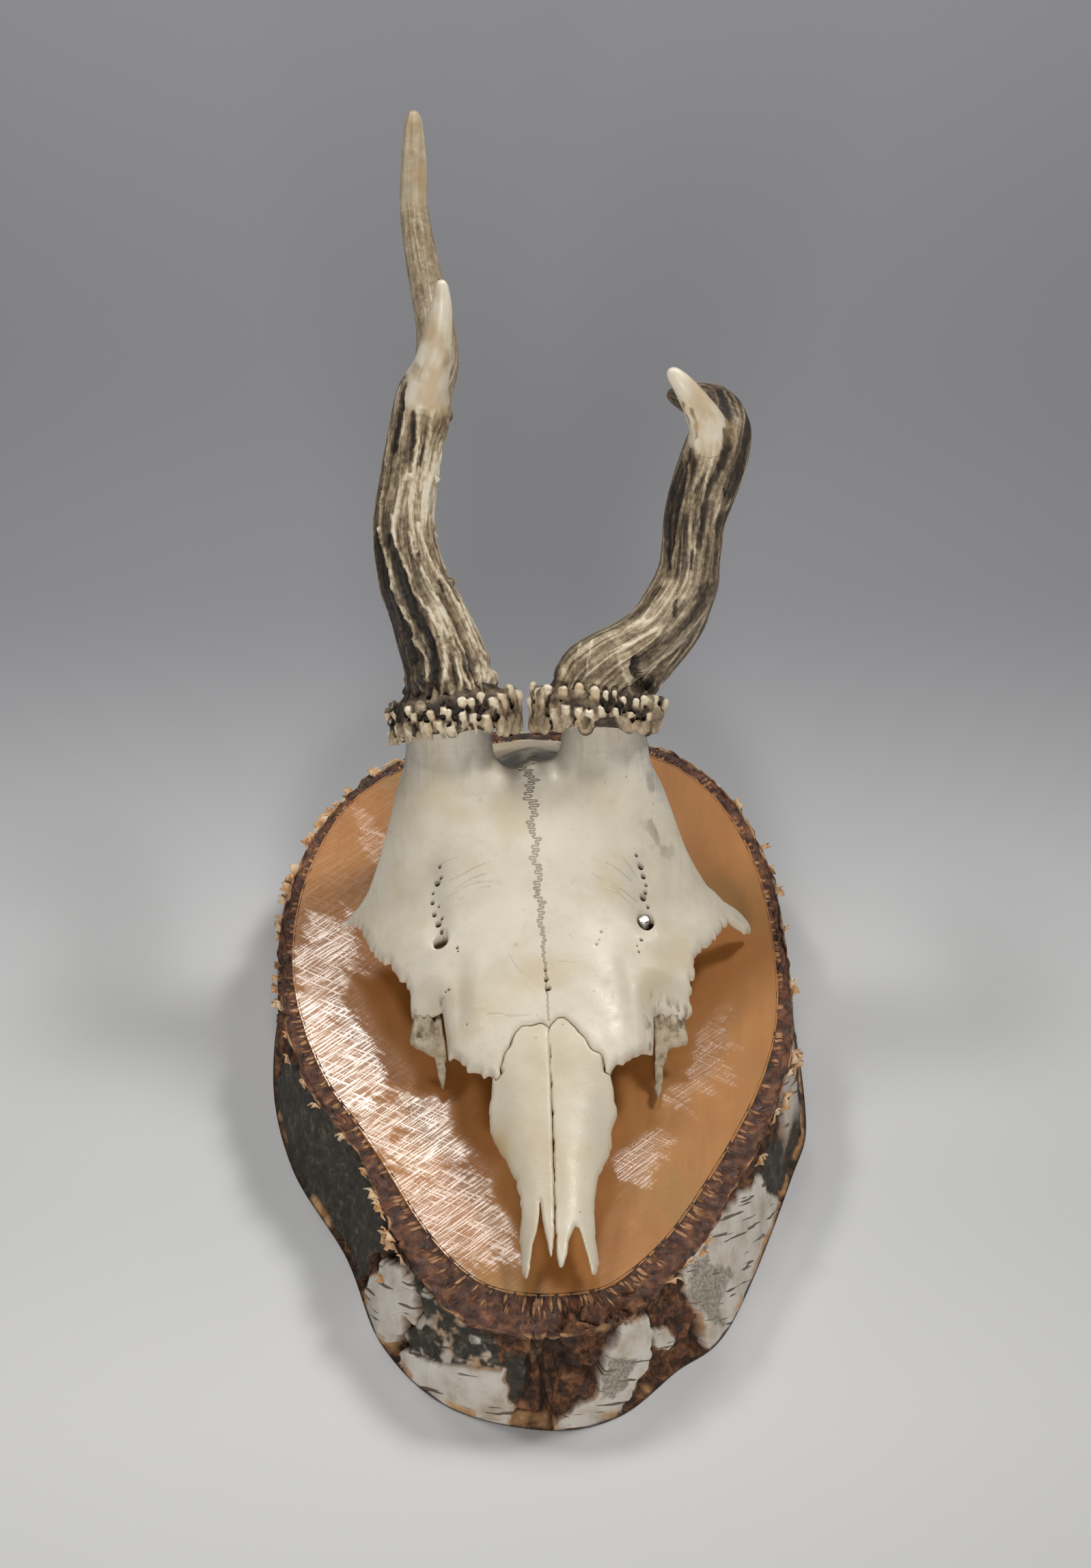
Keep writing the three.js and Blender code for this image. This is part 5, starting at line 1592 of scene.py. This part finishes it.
    def tones(self, points, pearls):
        """Tone and polish at the finished coronet's points."""
        off = points - self.centre
        height = off @ self.axis
        reach = np.linalg.norm(off - height[:, None] * self.axis, axis=1)
        turned = np.arctan2(off @ self.back, off @ self.across)
        turns = np.linspace(-math.pi, math.pi, 181)
        edge = np.interp(turned, turns, [self.frill_height(turn) for turn in turns])
        proud = reach - along(CORONET_WAIST, np.clip(height, -4, 4)) - 0.3
        blotch = noise(points, 3.6, self.seed + 1, 2)
        spots = noise(points, 1.3, self.seed + 2, 3)
        tone = 0.22 + 0.34 * step(0.2, 2.1, proud + 0.5 * spots) + 0.12 * blotch + 0.14 * spots
        soot = band(height, -1.6, 3.0, 1.0) * step(-0.1, 0.3, blotch + 0.3 * spots)
        tone -= 0.2 * soot * step(2.0, 1.0, proud)
        frill = step(2.8, 0.4, height - edge + 0.6 * spots) * step(0.0, 1.2, proud)
        tone += (0.66 + 0.16 * spots + 0.08 * blotch - tone) * frill
        foot = step(2.2, 4.2, height)
        grain = np.stack([9 * np.cos(turned), 9 * np.sin(turned), 0.15 * height], axis=1)
        streaks = noise(grain, 1.1, self.seed + 3, 2)
        tone += (0.40 + 0.34 * streaks + 0.14 * blotch + 0.1 * spots - tone) * foot
        polish = 0.3 * frill
        for angle, high, size, tail, far in pearls:
            away = points - self.spot(angle, far, high)
            rise = away @ self.axis
            aside = np.linalg.norm(away - rise[:, None] * self.axis, axis=1)
            pearl = step(1.35 * size, 0.8 * size, aside) * step(1.3 * size, 0.9 * size, rise)
            pearl *= step(-1.0 * size - 0.9 * tail, -0.5 * size, rise) * step(0.2, 1.0, proud)
            tone += (0.95 - 0.22 * step(0.3, -2.0, rise) + 0.08 * spots - tone) * pearl
            polish = np.maximum(polish, 0.95 * pearl)
        return dict(tone=np.clip(tone, 0.03, 1), polish=np.clip(polish, 0, 1))


def make_coronet(side, material):
    coronet = Coronet(side)
    coronet.add_crust()
    pearls = coronet.add_pearls()
    coronet.add_teeth()
    points, faces = coronet.field.surface()
    outward = normals(points, faces)
    points = points + outward * (0.22 * noise(points, 0.9, coronet.seed, 3) - 0.08)[:, None]
    mesh_piece(f"coronet_{side}", points, faces, material, (f"antler_{side}_coronet",),
               coronet.tones(points, pearls), {"grain": points * 0.6})


def make_antlers():
    antler = antler_material("antler", 0.75, 0.6)
    pearled = antler_material("pearled_antler", 0.1, 0.6)
    antler_body("antler_right", [BEAM_RIGHT, FRONT_TINE_RIGHT], [0, 3.0],
                (-40, 46, 56), (-10, 161, 142), [right_beam, right_tine], MARKS_RIGHT, antler,
                ("antler_right_beam", "antler_right_top", "antler_right_front_tine"))
    antler_body("antler_left", [RIDGE_LEFT + BEAM_LEFT, STRUT_LEFT, FRONT_TINE_LEFT], [0, 2.2, 3.5],
                (-1, 44, 48), (47, 118, 127), [left_ridge, left_strut, left_tine], MARKS_LEFT, antler,
                ("antler_left_beam", "antler_left_hook", "antler_left_front_tine"))
    for side in ("right", "left"):
        make_coronet(side, pearled)


# --------------------------------------------------------------------------- plaque


def rim_curves(count):
    """Face and back outlines, inward directions and bark width at even places."""
    rows = np.array(RIM, float)
    n = len(rows)
    place = np.arange(count) / count * n
    i = np.floor(place).astype(int)
    t = (place - i)[:, None]
    a, b, c, d = (rows[(i + k) % n] for k in (-1, 0, 1, 2))
    first, second, third = c - a, 2 * a - 5 * b + 4 * c - d, 3 * b - a - 3 * c + d
    curve = 0.5 * (2 * b + first * t + second * t**2 + third * t**3)
    slope = 0.5 * (first + 2 * second * t + 3 * third * t**2)
    inward = np.stack([slope[:, 1], -slope[:, 0]], axis=1)
    inward /= np.linalg.norm(inward, axis=1, keepdims=True)
    return place, curve[:, 0:2], curve[:, 2:4], inward, curve[:, 4]


def picture_patch(seen, outlines, ragged):
    """1 inside outlines drawn in the photograph, with ragged borders, 0 outside them."""
    inside = np.zeros(len(seen))
    for outline in outlines:
        edge = outline_distance(outline, seen[:, 0], seen[:, 1]) + ragged
        inside = np.maximum(inside, step(3.0, -3.0, edge))
    return inside


class BarkSheet:
    """The bark's points on one sheet, from the wood over the cut ring and down the wall to
    the back, and where each lies: its place on the rim, the way there along the rim, its
    share of the ring from the outer edge inwards and its depth on the wall, -1 on the ring."""

    def __init__(self):
        place, face, back, self.inward, self.width = rim_curves(BARK_COLUMNS)
        around = np.cumsum(np.linalg.norm(np.diff(face, axis=0), axis=1))
        rows = []
        for row in range(RING_ROWS):
            share = 1 - row / (RING_ROWS - 1)
            reach = (self.width + 0.5) * share + WALL_INSET * (1 - share)
            rows.append((face + self.inward * reach[:, None], PLAQUE, share, -1.0))
        for row in range(1, WALL_ROWS + 1):
            depth = row / WALL_ROWS
            flat = face + (back - face) * depth + self.inward * WALL_INSET
            rows.append((flat, PLAQUE * (1 - depth), 0.0, depth))
        for row in range(1, BACK_ROWS + 1):
            rows.append((back + self.inward * (WALL_INSET + row * 1.2), 0.0, 0.0, 1.0))
        flats, *levels = zip(*rows)
        self.z, self.ring_share, self.depth = (np.tile(level, (BARK_COLUMNS, 1)) for level in levels)
        self.points = np.concatenate([np.stack(flats, axis=1), self.z[..., None]], axis=2)
        self.where = self.spread(place)
        self.runs = self.spread(np.concatenate([[0], around]))
        lean = np.hstack([self.inward, np.zeros((BARK_COLUMNS, 1))])
        self.lean = np.repeat(lean[:, None, :], len(rows), axis=1)
        self.on_ring = self.depth < 0
        self.on_wall = ~self.on_ring & (self.z > 0.01)
        up = TRUNK / np.linalg.norm(TRUNK)
        turn = np.cross(up, [0, 1.0, 0])
        turn /= np.linalg.norm(turn)
        self.trunk = np.stack([self.points @ way for way in (turn, np.cross(turn, up), up)], axis=-1)

    def spread(self, values):
        """One value for each place on the rim, repeated down the sheet."""
        return np.repeat(values[:, None], self.depth.shape[1], axis=1)

    def beside(self, other):
        """Coordinates that unroll the sheet: the way along the rim, and another value."""
        return np.stack([self.runs, other, 0 * self.runs], axis=-1)

    def faces(self):
        k = np.arange(self.depth.size).reshape(self.depth.shape)
        after = np.roll(k, -1, axis=0)
        return np.stack([k[:, :-1], k[:, 1:], after[:, 1:], after[:, :-1]], axis=-1).reshape(-1, 4)


def bark_patches(sheet):
    """Shares of white, grey, lichen-grown and peeling bark: the seen patches as drawn, the
    others by their place on the rim."""
    points, where, depth = sheet.points, sheet.where, sheet.depth
    seen = in_picture(points.reshape(-1, 3))
    ragged = 9 * noise(points.reshape(-1, 3), 2.6, 112, 3)
    seen_side = band(where, 1.0, 10.2, 0.1)

    def drawn(outlines, raggedness=1.0):
        inside = picture_patch(seen, outlines, ragged * raggedness)
        return inside.reshape(where.shape) * seen_side

    at = where + 0.22 * noise(points, 3.5, 112, 3)
    far = 1 - seen_side
    white = drawn(WHITE_BARK)
    white = np.maximum(white, 0.9 * far * step(-0.2, 0.1, noise(points, 14, 114, 2)))
    grey = np.maximum(drawn(GREY_BARK), 0.8 * far)
    scattered = step(0.25, 0.45, noise(points, 5, 115, 2))
    grey = np.maximum(grey, 0.6 * band(at, 3.35, 6.0, 0.2) * scattered)
    speckled = drawn(GREY_BARK[1:2], 0.5) * step(0.0, 0.35, noise(points, 2.6, 118, 3))
    white = np.maximum(white * (1 - drawn(GREY_BARK[1:3], 0.5)), 0.8 * speckled)
    border = 4 * white * (1 - white)
    peel = step(0.07, 0.0, depth) * step(-0.1, 0.4, noise(points, 5, 116, 2))
    peel = np.maximum(peel, 0.9 * border * step(-0.1, 0.4, noise(points, 7, 119, 2)))
    peel = np.maximum(peel, step(0.90, 0.97, depth) * step(0.0, 0.3, noise(points, 6, 117, 2)))
    return white, grey, drawn(LICHEN, 1.6), np.clip(peel, 0, 1)


def make_bark(material):
    """The cut ring and the wall of the bark, with their relief and colours."""
    sheet = BarkSheet()
    points, where, z, depth = sheet.points, sheet.where, sheet.z, sheet.depth
    ring_share, on_ring, on_wall = sheet.ring_share, sheet.on_ring, sheet.on_wall
    wobble = noise(points, 6, 111, 3)
    white, grey, lichen, peel = bark_patches(sheet)
    brown = np.clip(1 - white - grey, 0, 1)

    # Fissures run along the trunk; the bark is ragged where it meets the floor.
    fissure = ridges(sheet.trunk * np.array([1, 1, 0.25]), 5.0, 121, 0.15)
    plates = noise(sheet.trunk * np.array([1, 1, 0.4]), 3.4, 123, 2)
    crumbs = noise(points, 2.2, 122, 3)
    relief = brown * (2.2 * fissure + 1.3 * crumbs + 1.5 * plates + 1.2)
    relief += grey * (0.55 + 0.4 * crumbs) + white * (0.05 + 0.12 * noise(points, 5, 124, 2))
    relief += 0.35 * step(0.2, 0.8, noise(points, 9, 125, 2)) * (1 - white)
    edge_fade = step(0, 0.05, depth) * step(0, 0.06, z / PLAQUE)
    push = np.where(on_wall, np.clip(relief, -0.25, 3.6) * (0.35 + 0.65 * edge_fade), 0)
    low_edge = on_wall * step(0.75, 1.0, depth) * (0.3 + 0.7 * step(0.1, 0.6, brown))
    push = push + low_edge * np.clip(2.6 * noise(points, 5, 130, 3) + 1.2, 0, 3.5)
    points = points + sheet.lean * push[..., None]

    # The ring's outer edge is nicked, and at the bottom rough bark climbs over it in lumps.
    rim_line = sheet.beside(0 * sheet.runs)
    nicks = 0.9 * noise(rim_line, 2.4, 126, 3) + 0.7 * noise(rim_line, 9, 129, 2)
    rim_edge = on_ring * step(0.35, 0, ring_share)
    points = points + sheet.lean * (rim_edge * (0.35 + nicks))[..., None]
    lumps = step(-0.1, 0.35, noise(points, 4.5, 131, 3) + 0.9 - 1.15 * ring_share)
    climb = band(where, 3.35, 4.75, 0.15) * lumps
    climb *= on_ring

    # The cut ring: pebbly, a little sunk, with a raised lip at the wood.
    pebbles = noise(sheet.beside(ring_share * 8), 1.3, 127, 2)
    hollow = 0.35 * step(0.0, 0.25, ring_share) * step(1.0, 0.8, ring_share)
    sink = 0.35 * pebbles + 0.3 * wobble - hollow
    sink -= 0.8 * step(0.3, 0.0, ring_share) * step(-0.1, 0.5, wobble)
    sink = np.where(ring_share > 0.97, 0.08, sink - 0.1) - climb * (0.5 + 0.9 * crumbs + 1.2 * fissure)
    points[..., 2] += np.where(on_ring, np.minimum(sink, 0.25), 0)
    points[..., 2] = np.maximum(points[..., 2], 0.0)

    dark = 0.8 * fissure * brown * on_wall + 0.85 * bell(ring_share - 0.945, 0.035) * on_ring
    dark = np.maximum(dark, 0.8 * on_wall * brown * step(-0.2, -0.6, plates))
    lip = 0.8 * on_ring * step(0.12, 0.03, ring_share) * step(0.0, 0.3, noise(points, 4, 128, 2))
    floats = dict(ring=on_ring * (1 - climb), white=white * on_wall, grey=grey * on_wall, lichen=lichen,
                  peel=np.maximum(peel * on_wall, lip), dark=np.clip(dark, 0, 0.95))
    from_edge = ring_share * sheet.spread(sheet.width)
    vectors = dict(rim=np.stack([sheet.runs, from_edge, ring_share], axis=-1), trunk=sheet.trunk)
    mesh_piece("bark", points.reshape(-1, 3), sheet.faces(), material, ("plaque_bark",),
               {key: value.reshape(-1) for key, value in floats.items()},
               {key: value.reshape(-1, 3) for key, value in vectors.items()})


def make_flakes(material):
    """Thin scraps of bark that curl off the outer edge on both sides."""
    rng = np.random.default_rng(SEEDS["flakes"])
    _, face, back, inward, _ = rim_curves(FLAKE_COLUMNS)
    points, faces = [], []
    nu, nv = FLAKE_GRID
    for first, last, number, deepest, longest in FLAKE_STRETCHES:
        for _ in range(number):
            at = first + (last - first) * (round(6 * rng.random()) + 0.8 * rng.random()) / 6.8
            k = int(at / len(RIM) * FLAKE_COLUMNS) % FLAKE_COLUMNS
            depth = 0.01 + deepest * rng.random() ** 2
            base = face[k] + (back[k] - face[k]) * depth + inward[k] * 0.9
            foot = np.array([*base, PLAQUE * (1 - depth)])
            side = np.array([-inward[k][1], inward[k][0], 0])
            out = np.array([*(-inward[k]), 0])
            length = 1.5 + (longest - 1.5) * rng.random() ** 1.5
            tall = 1.0 + 2.2 * rng.random()
            curl = 0.6 + 1.6 * rng.random()
            slant = rng.normal(0, 0.35)
            start = len(points)
            edge = rng.normal(0, 0.25, (nu, nv))
            for u, v in np.ndindex(nu, nv):
                s, t = u / (nu - 1) - 0.5, v / (nv - 1)
                lift = curl * t**1.6 * (0.5 + abs(s)) + 0.12 * edge[u, v]
                rise = tall * (t - 0.45) * (1 - 0.6 * (2 * s) ** 4) + edge[u, v] * t
                rise += slant * length * s
                spot = foot + side * (length * s * (1 - 0.3 * t)) + out * lift
                points.append(np.clip(spot + np.array([0, 0, rise]), *FLAKE_BOX))
            for u, v in np.ndindex(nu - 1, nv - 1):
                a = start + u * nv + v
                faces.append((a, a + 1, a + nv + 1, a + nv))
    piece = mesh_piece("bark_flakes", np.array(points), np.array(faces), material, ())
    thick = piece.modifiers.new("thickness", "SOLIDIFY")
    thick.thickness = FLAKE_THICKNESS * MM


def make_plaque():
    wood = bpy.data.objects["plaque_wood"]
    wood.data.materials.clear()
    wood.data.materials.append(wood_material())
    make_bark(bark_material())
    make_flakes(flake_material())


# ----------------------------------------------------------------- studio and camera


def make_camera():
    camera = bpy.data.cameras.new("camera")
    camera.lens = LENS
    camera.sensor_width = SENSOR
    camera.clip_start, camera.clip_end = CLIP_NEAR, CLIP_FAR
    holder = bpy.data.objects.new("camera", camera)
    holder.location = Vector(EYE) * MM
    holder.rotation_euler = (math.pi / 2 - VIEW_DOWN, 0, 0)
    bpy.context.scene.collection.objects.link(holder)
    bpy.context.scene.camera = holder


def add_light(name, kind, strength, place, target, size, spread):
    """A warm light aimed at a target: a softbox near by, or a far, soft sun."""
    light = bpy.data.lights.new(name, kind)
    light.energy = strength
    light.color = LIGHT_COLOR
    if kind == "AREA":
        light.shape = "RECTANGLE"
        light.size, light.size_y = size
        light.spread = math.radians(spread)
    else:
        light.angle = math.radians(size)
    holder = bpy.data.objects.new(name, light)
    holder.location = place
    holder.rotation_euler = (Vector(target) - Vector(place)).to_track_quat("-Z", "Y").to_euler()
    bpy.context.scene.collection.objects.link(holder)


def make_studio():
    """The pale floor with painted shade behind the plaque, the lights and a faint sky."""
    p = Paint("floor", roughness=0.6, Specular_IOR_Level=0.25)
    y = p.node("SeparateXYZ", {"Vector": p.node("TexCoord").outputs["Object"]}).outputs[1]
    paper = FLOOR_FRONT
    # Painted shade: the floor's colour darkens behind the plaque, as falling light would.
    for start, end, tone in FLOOR_SHADE_TONES:
        paper = p.mix(p.range(y, start, end), paper, tone)
    bpy.ops.mesh.primitive_plane_add(size=FLOOR_SIZE, location=(0, 0, -FLOOR_DROP))
    plane = bpy.context.object
    plane.name = "floor"
    plane.data.materials.append(p.done(paper))
    for light in LIGHTS:
        add_light(*light)
    world = bpy.data.worlds.new("studio")
    world.use_nodes = True
    sky = world.node_tree.nodes["Background"]
    sky.inputs["Color"].default_value = SKY_COLOR
    sky.inputs["Strength"].default_value = SKY_STRENGTH
    bpy.context.scene.world = world
    bpy.context.scene.view_settings.view_transform = "Standard"


# ---------------------------------------------------------------------------- build

make_camera()
make_studio()
bone = bone_material()
make_frontals(bone)
make_parietal(bone)
make_nasal("nasal_bone_right", NASAL_RIGHT, -1, bone, "nasal_right")
make_nasal("nasal_bone_left", NASAL_LEFT, 1, bone, "nasal_left")
thin_bone = lacrimal_material()
make_lacrimal("lacrimal_bone_right", LACRIMAL_RIGHT, thin_bone, "lacrimal_right")
make_lacrimal("lacrimal_bone_left", LACRIMAL_LEFT, thin_bone, "lacrimal_left")
make_pin(steel_material())
make_antlers()
make_plaque()
